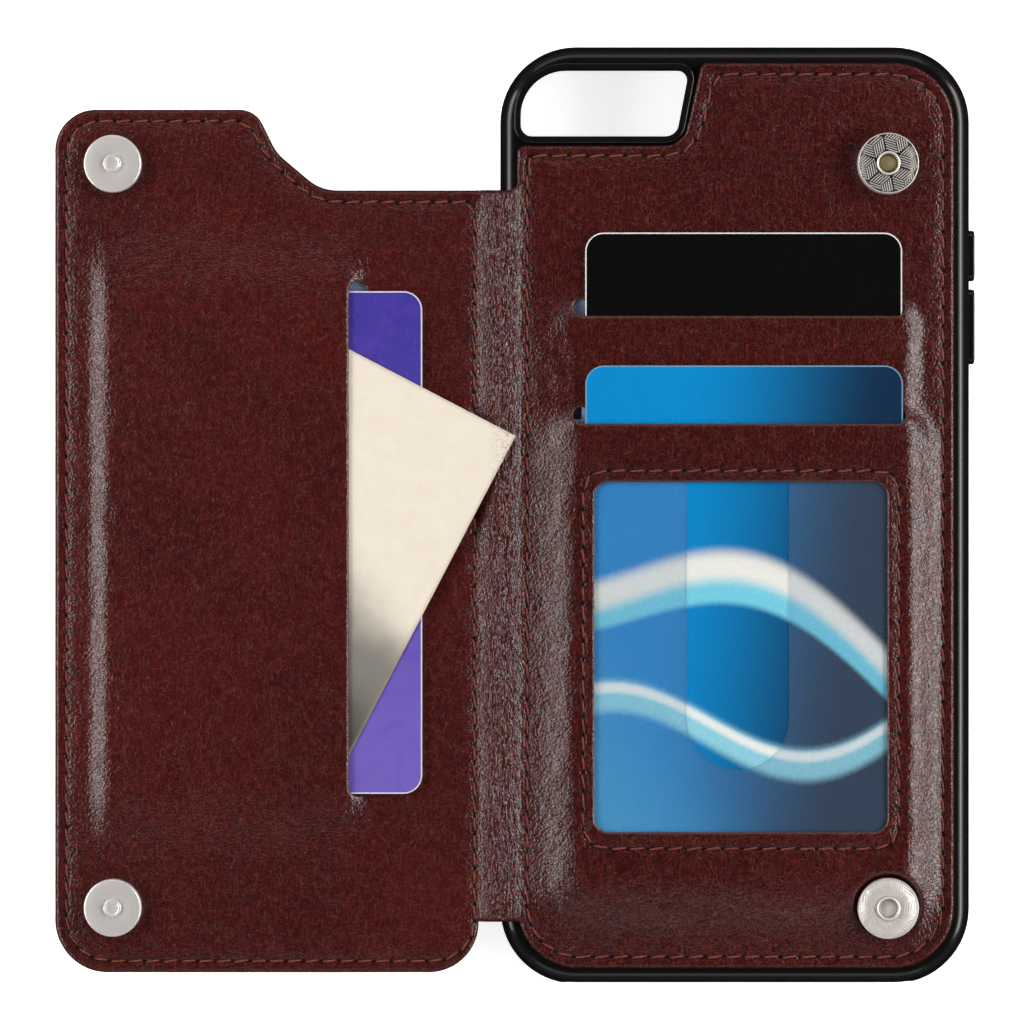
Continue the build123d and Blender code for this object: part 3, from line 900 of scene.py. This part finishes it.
def leather_material():
    """Glossy red-brown leather: mottled, pebbled, with fine upright reddish creases, and painted
    shade in the seam grooves and needle holes.
    """
    n = new_material("red_brown_leather")
    place = n.rest()
    moved = n.shift(place, n.noise(place, 0.12, 2, output="Color"), 2.2)
    bent = n.shift(moved, n.noise(place, 1.1, 2, output="Color"), 0.5)

    blotch = n.step(0.36, 0.66, n.noise(place, 0.045, 4, 0.6))
    cloud = n.step(0.35, 0.75, n.noise(moved, 0.3, 4, 0.65))
    on_case = n.step(CREASE_FLAP_X, CREASE_CASE_X, n.parts(place)[0])
    streak_long = n.noise(n.scale(moved, 1.0, 0.13, 1.0), 1.7, 2, 0.5)
    streak_short = n.noise(n.scale(bent, 1.0, 0.24, 1.0), 2.1, 3, 0.55)
    patch = n.step(0.38, 0.62, n.noise(place, 0.14, 3, 0.6))
    line = n.mul(n.step(0.6, 0.7, streak_long), patch)
    line_fine = n.step(0.5, 0.66, streak_short)
    threads = n.cells(n.scale(moved, 1.2, 0.6, 1.0), 1.4)
    dash = n.mul(n.step(0.08, 0.0, threads), n.step(0.36, 0.6, n.noise(place, 0.9, 2, 0.5)))
    hole = n.attribute("hole")
    color = n.layers(
        n.mix(blotch, (0.042, 0.003, 0.0027), (0.062, 0.0036, 0.0023)),
        (cloud, 0.6, (0.038, 0.0054, 0.0056)),
        (on_case, 0.5, (0.026, 0.0004, 0.0003)),
        (n.step(0.47, 0.3, streak_short), 0.36, (0.016, 0.0014, 0.0013)),
        (line_fine, 0.36, (0.11, 0.0115, 0.008)),
        (line, 0.32, (0.13, 0.024, 0.015)),
        (dash, 0.5, (0.17, 0.04, 0.028)),
        (n.attribute("rim"), 0.3, (0.04, 0.008, 0.006)),
        (n.attribute("cut"), 1.0, (0.11, 0.04, 0.027)),
        # painted shade: darker leather along the seam grooves
        (n.attribute("groove"), 0.4, (0.02, 0.003, 0.0025)),
        # painted shade: near-black needle holes
        (hole, 0.9, (0.004, 0.0015, 0.0015)),
    )

    pebbles = n.cells(n.scale(bent, 0.8, 1.2, 1.0), 1.6)
    strands = n.cells(n.scale(bent, 1.4, 0.4, 1.0), 1.6)
    swell = n.noise(n.scale(moved, 0.75, 1.25, 1.0), 1.3, 1, 0.4)
    folds = n.noise(n.scale(moved, 1.0, 0.26, 1.0), 1.7, 1, 0.45)
    height = n.add(n.mul(n.step(0.0, 0.28, pebbles), 0.36), n.mul(swell, 0.75))
    height = n.sub(height, n.mul(line_fine, 0.05))
    on_spine = n.add(n.mul(folds, 2.4), n.mul(n.step(0.0, 0.3, strands), 0.7))
    spine_share = n.add(n.mul(n.attribute("spine"), 0.9), 0.07)
    height = n.add(height, n.mul(on_spine, spine_share))
    soft = n.bump(n.noise(place, 0.4, 2, 0.5), 0.4, 0.4)
    normal = n.bump(height, 0.55, 0.2, Normal=soft)
    return n.finish(
        Base_Color=color, Roughness=n.add(n.mul(n.noise(place, 4.5, 3, 0.6), 0.1), 0.215),
        Normal=normal, Specular_IOR_Level=n.sub(0.5, n.mul(hole, 0.45)),
        Coat_Weight=0.05, Coat_Roughness=0.2, Coat_Normal=normal,
    )


def shell_material():
    """Glossy black soft plastic with faint moulding haze."""
    n = new_material("shell_black")
    place = n.place()
    haze = n.noise(place, 0.3, 4, 0.6)
    return n.finish(
        Base_Color=n.mix(haze, (0.004, 0.0035, 0.0035), (0.0075, 0.0065, 0.0065)),
        Roughness=n.add(n.mul(haze, 0.1), 0.1), Specular_IOR_Level=0.3,
        Normal=n.bump(n.noise(place, 6.0, 2, 0.5), 0.08, 0.05),
    )


def thread_material():
    """Twisted red-brown thread with a slight sheen."""
    n = new_material("seam_thread")
    place = n.rest()
    tone = n.noise(n.scale(place, 1.0, 1.0, 0.4), 1.4, 3, 0.6)
    fibre = n.noise(n.scale(place, 3.0, 3.0, 3.0), 3.0, 4, 0.7)
    color = n.mix(n.step(0.3, 0.7, tone), (0.11, 0.014, 0.007), (0.22, 0.042, 0.018))
    return n.finish(
        Base_Color=n.layers(color, (fibre, 0.35, (0.36, 0.11, 0.055))), Roughness=0.65,
        Normal=n.bump(fibre, 0.7, 0.12), Sheen_Weight=0.1, Specular_IOR_Level=0.25,
    )


def metal_material(name, color, dark, roughness, metallic=1.0):
    """Plated metal with brushing and small scuffs."""
    n = new_material(name)
    place = n.place()
    brush = n.noise(n.scale(place, 1.0, 9.0, 1.0), 1.6, 4, 0.6)
    scuff = n.step(0.52, 0.75, n.noise(place, 1.1, 5, 0.7))
    return n.finish(
        Base_Color=n.layers(color, (scuff, 0.35, dark)), Metallic=metallic,
        Roughness=n.add(n.mul(brush, 0.14), roughness), Normal=n.bump(brush, 0.12, 0.05),
    )


def lining_material():
    """Grey-blue woven lining."""
    n = new_material("lining_weave")
    place = n.place()
    turns = 2 * math.pi / 0.5
    warp, weft = (n.math("SINE", n.mul(part, turns)) for part in n.parts(place)[:2])
    weave = n.mul(warp, weft)
    color = n.mix(n.noise(place, 1.2, 3, 0.6), (0.13, 0.18, 0.28), (0.2, 0.27, 0.4))
    return n.finish(
        Base_Color=n.mix(n.step(-0.4, 0.9, weave), color, (0.3, 0.38, 0.52)),
        Roughness=0.8, Normal=n.bump(weave, 0.6, 0.1), Sheen_Weight=0.2,
    )


def fleck_material(name, grain, dark, light, relief, **finish):
    """A pressed or sintered material, flecked all through."""
    n = new_material(name)
    fleck = n.noise(n.place(), *grain)
    return n.finish(Base_Color=n.mix(fleck, dark, light), Normal=n.bump(fleck, *relief), **finish)


CARD_CORNER = 3.18
CARD_LINE = 0.26


def card_rim(n, low, high):
    """1 along a card's printed border line, where its white core shows."""
    squares = []
    for axis, along in enumerate(n.parts(n.place())[:2]):
        middle, half = (low[axis] + high[axis]) / 2, (high[axis] - low[axis]) / 2 - CARD_CORNER
        out = n.sub(n.math("ABSOLUTE", n.sub(along, middle)), half)
        squares.append(n.math("POWER", n.math("MAXIMUM", out, 0.0), 2.0))
    inner = CARD_CORNER - CARD_LINE
    return n.step(inner, inner + 0.08, n.math("SQRT", n.add(*squares)))


def card_finish(n, face, box, rim_color, rough):
    """A printed card with a border line, a white core on its edges and a faint ridge."""
    ridge = n.noise(n.place(), 1.5, 3, 0.6)
    face = n.mix(card_rim(n, *box), face, rim_color)
    return n.finish(
        Base_Color=n.mix(n.step(0.3, 0.7, n.facing_up()), (0.78, 0.78, 0.76), face),
        Roughness=n.add(n.mul(ridge, 0.1), rough), Normal=n.bump(ridge, 0.1, 0.06),
        Coat_Weight=0.2,
    )


def black_card_material():
    n = new_material("black_card_print")
    tone = n.noise(n.place(), 0.2, 4, 0.6)
    face = n.mix(tone, (0.0012, 0.001, 0.001), (0.0026, 0.002, 0.0022))
    return card_finish(n, face, BLACK_CARD, (0.8, 0.78, 0.76), 0.2)


def ribbon(n, x, y, start, slope, bend, wave, phase, width, soft):
    """A soft band that wanders across a card."""
    swing = n.math("SINE", n.add(n.mul(x, 2 * math.pi / wave), phase))
    line = n.add(n.mul(x, slope), n.mul(swing, bend))
    off = n.sub(n.sub(y, line), start)
    return n.step(width + soft, width, n.math("ABSOLUTE", off))


def blue_card_material():
    """Blue card: bright at its left, dark at its right, with soft abstract bands."""
    n = new_material("blue_card_print")
    place = n.place()
    x, y, _ = n.parts(place)
    across = n.sub(x, n.mul(y, 0.12))
    lower_left = n.add(across, n.mul(y, 0.8))
    face = n.layers(
        n.mix(n.step(-13.0, 23.5, across), (0.001, 0.245, 0.6), (0.005, 0.014, 0.045)),
        (n.noise(place, 2.5, 4, 0.7), 0.1, (0.02, 0.24, 0.5)),
        (n.step(-30.0, -62.0, lower_left), 0.8, (0.06, 0.36, 0.62)),
        (ribbon(n, x, y, -20.0, -0.35, 9.0, 88.0, 1.2, 2.6, 1.6), 1.0, (0.18, 0.6, 0.75)),
        (ribbon(n, x, y, -17.5, -0.35, 9.5, 88.0, 1.2, 0.9, 3.0), 0.95, (0.84, 0.82, 0.76)),
        (ribbon(n, x, y, -36.0, 0.12, -8.0, 74.0, 0.4, 1.5, 2.2), 0.9, (0.3, 0.66, 0.76)),
        (ribbon(n, x, y, -34.6, 0.12, -8.0, 74.0, 0.4, 0.2, 1.2), 1.0, (0.8, 0.84, 0.82)),
    )
    return card_finish(n, face, BLUE_CARD, (0.16, 0.33, 0.46), 0.22)


def purple_card_material():
    """Purple card with a soft lighter end."""
    n = new_material("purple_card_print")
    place = n.place()
    down = n.step(PURPLE_CARD[1][1], PURPLE_CARD[0][1], n.parts(place)[1])
    cloud = n.step(0.4, 0.8, n.noise(place, 0.12, 4, 0.6, 1.5))
    fleck = n.step(0.5, 0.8, n.noise(place, 1.1, 5, 0.75))
    face = n.layers(
        n.mix(down, (0.05, 0.035, 0.3), (0.17, 0.12, 0.5)),
        (cloud, 0.5, (0.1, 0.05, 0.42)), (fleck, 0.35, (0.24, 0.16, 0.62)),
    )
    return card_finish(n, face, PURPLE_CARD, (0.72, 0.7, 0.82), 0.3)


def print_material():
    """Cream paper with a soft grey tone and a worn corner."""
    n = new_material("print_paper")
    place = n.rest()
    x, y, _ = n.parts(place)
    mottling = n.noise(place, 0.35, 5, 0.65)
    tone = n.add(n.add(x, n.mul(y, 1.05)), n.mul(n.noise(place, 0.07, 3, 0.5), 16.0))
    fleck = n.step(0.5, 0.62, n.noise(place, 1.6, 5, 0.8))
    paper = n.layers(
        n.mix(mottling, (0.8, 0.7, 0.57), (0.9, 0.82, 0.7)),
        (n.step(-62.0, -80.0, tone), 0.82, (0.075, 0.075, 0.075)),
        (n.step(-80.0, -98.0, tone), 0.75, (0.018, 0.016, 0.015)),
        (n.mul(fleck, n.step(-43.0, -38.5, x)), 0.7, (0.14, 0.1, 0.06)),
        (n.attribute("rim"), 0.45, (0.36, 0.27, 0.17)),
    )
    return n.finish(Base_Color=paper, Roughness=0.55, Normal=n.bump(mottling, 0.25, 0.2))


def film_material():
    """Clear soft film with a faint milky haze that catches the light."""
    n = new_material("clear_film")
    normal = n.bump(n.noise(n.place(), 0.25, 3, 0.5), 0.15, 0.5)
    clear = n.node("BsdfTransparent", Color=(0.95, 0.965, 0.98))
    haze = n.node("BsdfDiffuse", Color=(0.62, 0.72, 0.8))
    shine = n.node("BsdfGlossy", Color=(1.0, 1.0, 1.0), Roughness=0.12, Normal=normal)
    milky = n.add(n.mul(n.step(0.8, 0.2, n.facing_up()), 0.5), 0.026)
    body = n.node("MixShader", milky, clear, haze)
    front = n.sub(1.0, n.node("NewGeometry").outputs["Backfacing"])
    fresnel = n.mul(n.node("Fresnel", IOR=1.45), front)
    return n.surface(n.node("MixShader", fresnel, body, shine))


def floor_material():
    n = new_material("studio_floor")
    tone = n.noise(n.place(), 0.01, 2, 0.5)
    diffuse = n.node("BsdfDiffuse", Color=n.mix(tone, (0.9, 0.9, 0.895), (0.92, 0.92, 0.915)))
    glow = n.node("Emission", Color=(1.0, 1.0, 0.995), Strength=0.78)
    return n.surface(n.node("AddShader", diffuse, glow))


LEATHER_SKIN = leather_material()
THREAD = thread_material()
STEEL = metal_material("plated_steel", (0.8, 0.755, 0.725), (0.6, 0.57, 0.54), 0.36, 0.55)
DARK_STEEL = metal_material("dark_plated_steel", (0.07, 0.062, 0.05), (0.03, 0.026, 0.02), 0.22)
BRASS = metal_material("yellow_brass", (0.4, 0.33, 0.17), (0.24, 0.19, 0.09), 0.34, 0.6)


def dress(obj, material, body=None, nodes=()):
    """Gives a piece its material, its body and the CAD nodes it replaces."""
    obj.data.materials.clear()
    obj.data.materials.append(material)
    if body:
        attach(obj, body)
    if nodes:
        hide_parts(*nodes)
    return obj


# -------------------------------- leather pieces

CASE_CREASE = ("case", "spine", CREASE_CASE_X)
FLAP_CREASE = ("spine", "flap", CREASE_FLAP_X)


def bend(piece, first, second, crease_x, reach):
    """Bakes a piece's placement into its mesh, without blending it across the crease; reach is not
    used.
    """
    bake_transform(piece)


def build_leather():
    """The skins, each beside a crease that it is not bent across."""
    case_columns, flap_columns = crease_columns(CREASE_CASE_X), crease_columns(CREASE_FLAP_X)
    around_sockets = snap_rings(SNAP_PLACES, CAP_RADIUS)
    around_studs = snap_rings(STUD_PLACES, STUD_RADIUS)
    rows = [
        ("panel_skin", PANEL, 0.85, CASE_CREASE, ("panel_leather", "spine_inner_leather"),
         [PANEL_SEAM.ribbon(), WINDOW_SEAM.ribbon(), case_columns, around_sockets]),
        ("flap_inner_skin", FLAP_INNER, 0.85, FLAP_CREASE, ("flap_inner_leather",),
         [FLAP_SEAM.ribbon(), flap_columns, around_studs]),
        ("flap_outer_skin", FLAP_OUTER, 1.1, FLAP_CREASE,
         ("flap_outer_leather", "spine_outer_leather"), [FLAP_SEAM.ribbon(), flap_columns]),
        ("spine_outer_skin", SPINE_STRIP, 0.7, CASE_CREASE, (), [case_columns]),
    ]
    for name, sheet, spacing, crease, nodes, extra in rows:
        piece = sheet_object(name, sheet, spacing, np.vstack(extra))
        bend(dress(piece, LEATHER_SKIN, nodes=nodes), *crease, reach=1.35)


def build_threads():
    """Every seam, above and below the flap."""
    rows = [
        ("panel_seam_thread", PANEL_SEAM, PANEL.top, 1, "case", ("panel_stitching",)),
        ("window_seam_thread", WINDOW_SEAM, PANEL.top, 1, "case", ("window_stitching",)),
        ("flap_seam_thread", FLAP_SEAM, FLAP_INNER.top, 1, "flap", ("flap_stitching",)),
        ("flap_seam_thread_outside", FLAP_SEAM, FLAP_OUTER.bottom, -1, "flap", ()),
    ]
    for name, seam, height, lift, body, nodes in rows:
        dress(thread_object(name, seam, height, lift), THREAD, body, nodes)


# -------------------------------- snaps

def runs(ok):
    """First and last index of every run of true values."""
    edges = np.flatnonzero(np.diff(np.concatenate([[0], ok.astype(int), [0]])))
    return [(first, last - 1) for first, last in edges.reshape(-1, 2)]


def hatch_bars(centre, turn, inner, outer):
    """Ends of the hatching's bars: hexagons, each split into three hatched rhombi."""
    side, pitch, margin = 2.3, 0.385, 0.1
    bars = []
    for row in range(-4, 5):
        for column in range(-4, 5):
            middle = np.array([(column + (row % 2) / 2) * side * math.sqrt(3), row * side * 1.5])
            for k in range(3):
                ends = [math.radians(30 + 120 * (k + j)) for j in (0, 1)]
                along, across = (np.array([math.cos(a), math.sin(a)]) for a in ends)
                for b in np.arange(pitch / 2, side, pitch / math.sin(math.radians(120))):
                    t = np.arange(margin, side - margin, 0.04)
                    points = middle + b * across + t[:, None] * along
                    reach = np.linalg.norm(points, axis=1)
                    ok = (reach > inner) & (reach < outer)
                    bars += [(points[i], points[j]) for i, j in runs(ok) if j - i > 6]
    c, s = math.cos(turn), math.sin(turn)
    spin = np.array([[c, s], [-s, c]])
    return [(a @ spin + centre, b @ spin + centre) for a, b in bars]


BAR_FACES = [(4, 5, 7, 6), (0, 2, 3, 1), (0, 1, 5, 4), (3, 2, 6, 7), (2, 0, 4, 6), (1, 3, 7, 5)]


def bar_mesh(name, bars, low, high, width):
    """Raised bars with sloping sides between pairs of points."""
    vertices, faces = [], []
    for a, b in bars:
        along = unit(b - a)
        across = np.array([-along[1], along[0]])
        faces += [tuple(len(vertices) + i for i in face) for face in BAR_FACES]
        for z, half, short in ((low, width / 2, 0.0), (high, width / 4, width / 4)):
            for end, sign in ((a, 1), (b, -1)):
                for side in (1, -1):
                    place = end + along * short * sign + across * half * side
                    vertices.append((place[0], place[1], z))
    return fix_normals(mesh_object(name, vertices, faces, smooth=False))


def build_caps():
    """The two socket caps, each a turned cup with a raised ring and an engraved floor."""
    low, high = node_box("snap_socket_caps")
    z0, z1, top = low[2], high[2] - 0.35, high[2]
    floor_z = z1 - 0.1
    r, outer = CAP_RADIUS, CAP_RADIUS - 0.24
    profile = [
        (outer, z0), (r, z0), (r, z1 - 0.42), (r - 0.03, z1 - 0.25), (r - 0.07, z1 - 0.1),
        (r - 0.12, z1 - 0.01), (r - 0.17, z1 + 0.02), (r - 0.21, z1), (outer, floor_z),
        (outer, floor_z - 0.2), (2.02, floor_z - 0.2), (2.02, z1 + 0.14), (1.98, z1 + 0.26),
        (1.93, top - 0.06), (1.86, top), (1.78, top), (1.7, top - 0.07), (1.66, top - 0.2),
        (1.65, z1 - 0.4), (outer, z1 - 0.4),
    ]
    cups = lathe("snap_socket_cups", profile, SNAP_PLACES)
    dress(cups, STEEL, "case", ("snap_socket_caps",))
    base = floor_z - 0.19
    ring = [(1.95, base), (outer + 0.1, base), (outer + 0.1, floor_z), (2.3, floor_z)]
    for place, name, turn, metal in zip(
        SNAP_PLACES, ("upper", "lower"), (0.2, 0.9), (DARK_STEEL, STEEL)
    ):
        floor = lathe(f"snap_socket_floor_{name}", ring, [place])
        dress(floor, metal, "case")
        bars = hatch_bars(np.array(place), turn, 2.1, outer - 0.05)
        hatching = f"snap_socket_hatching_{name}"
        raised = bar_mesh(hatching, bars, floor_z - 0.02, floor_z + 0.07, 0.2)
        dress(raised, STEEL, "case")


def build_rivets():
    """The socket rivets, whose heads show at the bottom of each socket."""
    low, high = node_box("snap_socket_rivets")
    radius = (high[0] - low[0]) / 2
    head = node_box("snap_socket_caps")[1][2] - 0.72
    profile = [
        (0, low[2]), (radius, low[2]), (radius, high[2]), (1.6, high[2]), (1.6, head - 0.3),
        (1.36, head - 0.28), (1.34, head - 0.06), (1.26, head), (0, head),
    ]
    rows = [("upper", BRASS, "brass"), ("lower", STEEL, "plated_steel")]
    for place, (name, metal, slot) in zip(SNAP_PLACES, rows):
        rivet = lathe(f"snap_socket_rivet_{name}", profile, [place], 64)
        dress(rivet, metal, "case", ("snap_socket_rivets",))


def build_studs():
    """The two studs: a flat disc with a soft edge, a shallow ring and a nub."""
    low, high = node_box("snap_stud_discs")
    z0, top = low[2], high[2]
    z1 = top - 0.4
    r = STUD_RADIUS
    profile = [
        (0, z0), (r, z0), (r, z1 - 0.34), (r - 0.04, z1 - 0.17), (r - 0.13, z1 - 0.05),
        (r - 0.3, z1), (1.72, z1), (1.66, z1 - 0.02), (1.6, z1 - 0.1), (1.55, z1 - 0.1),
        (1.52, z1 - 0.02), (1.5, top - 0.12), (1.42, top - 0.03), (1.3, top),
        (1.16, top - 0.02), (1.06, top - 0.1), (0.95, top - 0.13), (0, top - 0.13),
    ]
    studs = lathe("snap_studs", profile, STUD_PLACES)
    dress(studs, STEEL, "flap", ("snap_stud_discs",))


# -------------------------------- print

def build_print():
    """The paper print: a thin sheet that lifts a little towards its loose corner."""
    width, length, thickness, turn = 42.0, 68.0, 0.15, math.radians(-27.5)
    across, along = 72, 110
    centre = (PRINT_LOW[:2] + PRINT_HIGH[:2]) / 2
    u = np.linspace(-width / 2, width / 2, across + 1)
    v = np.linspace(-length / 2, length / 2, along + 1)
    gu, gv = grid_points(u, v).T
    x = centre[0] + gu * math.cos(turn) - gv * math.sin(turn)
    y = centre[1] + gu * math.sin(turn) + gv * math.cos(turn)
    out = past(x - (FLAP_SLOT_X + 2.0))
    low = PRINT_LOW[2] + 0.0009 * out**2 + 0.02 * (1 + SLOW(x, y)) * ramp(0, 8, out)
    row = across + 1
    firsts = [b * row + a for b in range(along) for a in range(across)]
    faces = [[p, p + 1, p + row + 1, p + row] for p in firsts]
    flat = np.column_stack([x, y])
    sheet = closed_sheet("paper_print", flat, faces, low + thickness, low)
    gap = np.minimum(width / 2 - np.abs(gu), length / 2 - np.abs(gv))
    add_values(sheet, "rim", np.tile(np.exp(-gap / 0.25), 2))
    dress(sheet, print_material(), nodes=("loose_print",))
    bend(sheet, *FLAP_CREASE, reach=2.4)


# -------------------------------- CAD nodes

def dress_nodes():
    """Materials for the CAD nodes that stay in view."""
    board = fleck_material(
        "pressed_board", (2.2, 5, 0.75), (0.14, 0.11, 0.08), (0.33, 0.28, 0.22), (0.4, 0.1),
        Roughness=0.9,
    )
    magnet = fleck_material(
        "sintered_magnet", (5.0, 4, 0.7), (0.03, 0.03, 0.032), (0.1, 0.1, 0.105), (0.3, 0.05),
        Metallic=0.8, Roughness=0.5,
    )
    finishes = [
        (shell_material(), "back_shell", "volume_up_button", "volume_down_button", "power_button"),
        (lining_material(), "panel_lining", "flap_lining", "pocket_divider"),
        (board, "panel_board", "flap_board"),
        (magnet, "snap_socket_magnets"),
        (STEEL, "snap_socket_washers", "snap_stud_washers"),
        (BRASS, "snap_stud_rivets"),
        (film_material(), "window_film"),
        (black_card_material(), "black_card"),
        (blue_card_material(), "blue_card"),
        (purple_card_material(), "purple_card"),
    ]
    for material, *names in finishes:
        for name in names:
            dress(frame["nodes"][name], material)


# -------------------------------- stage

WHITE = (1.0, 1.0, 1.0)
WARM = (1.0, 0.985, 0.97)
WARM_RIGHT = (1.0, 0.985, 0.975)
COOL = (0.98, 0.99, 1.0)
CENTRE_X, CENTRE_Y = -0.0382, 0.0006
CAMERA_HEIGHT = 0.7
# name, place, aimed at this x on the floor, long side, short side, watts, colour
LIGHTS = [
    ("left_box", (-0.67, 0.05, 0.365), -0.06, 0.8, 0.4, 2.7, WARM),
    ("left_core", (-0.66, 0.05, 0.36), -0.06, 0.8, 0.12, 2.2, WARM),
    ("right_box", (0.61, 0.05, 0.365), 0.0, 0.8, 0.4, 3.3, WARM_RIGHT),
    ("right_core", (0.6, 0.05, 0.36), 0.0, 0.8, 0.12, 2.9, WARM_RIGHT),
    ("back_box", (-0.04, 0.75, 0.5), -0.04, 0.9, 0.3, 1.2, COOL),
    ("front_box", (-0.04, -0.75, 0.55), -0.04, 0.9, 0.3, 0.9, WHITE),
]


def area_light(name, place, aim_x, length, width, power, color):
    light = bpy.data.lights.new(name, "AREA")
    light.shape = "RECTANGLE"
    light.size, light.size_y = length, width
    light.energy = power
    light.color = color
    obj = linked(name, light)
    obj.location = place
    direction = Vector((aim_x, 0, 0)) - Vector(place)
    obj.rotation_euler = direction.to_track_quat("-Z", "Y").to_euler()


def build_world():
    """White to the camera. To the object: dim, brighter near the horizon, dark below."""
    world = bpy.data.worlds.new("studio")
    bpy.context.scene.world = world
    n = Nodes(world, "OutputWorld")
    up = n.parts(n.node("TexCoord").outputs["Generated"])[2]
    glow = n.mul(n.fade(up, 0.45, 0.85, 0.22, 0.03), n.math("GREATER_THAN", up, 0.0))
    light = n.node("Background", Color=(0.97, 0.98, 1.0), Strength=glow)
    seen = n.node("Background", Color=(1.0, 1.0, 0.99), Strength=1.0)
    n.surface(n.node("MixShader", n.node("LightPath").outputs["Is Camera Ray"], light, seen))


def build_stage():
    """Pale floor, soft light from both sides and a camera straight above."""
    half = 3000
    corners = [(-half, -half, 0), (half, -half, 0), (half, half, 0), (-half, half, 0)]
    floor = mesh_object("floor", corners, [(0, 1, 2, 3)], smooth=False)
    floor.location.z = -0.3 * MM
    floor.visible_glossy = False
    dress(floor, floor_material())
    for row in LIGHTS:
        area_light(*row)
    build_world()
    camera = bpy.data.cameras.new("camera")
    camera.sensor_width = 36.0
    camera.lens = 144.3
    camera.clip_start, camera.clip_end = 0.05, 20.0
    obj = linked("camera", camera)
    obj.location = (CENTRE_X, CENTRE_Y, CAMERA_HEIGHT + FACE * MM)
    scene = bpy.context.scene
    scene.camera = obj
    scene.view_settings.view_transform = "Standard"
    scene.view_settings.look = "None"


# -------------------------------- build

build_leather()
build_threads()
build_caps()
build_rivets()
build_studs()
build_print()
dress_nodes()
build_stage()
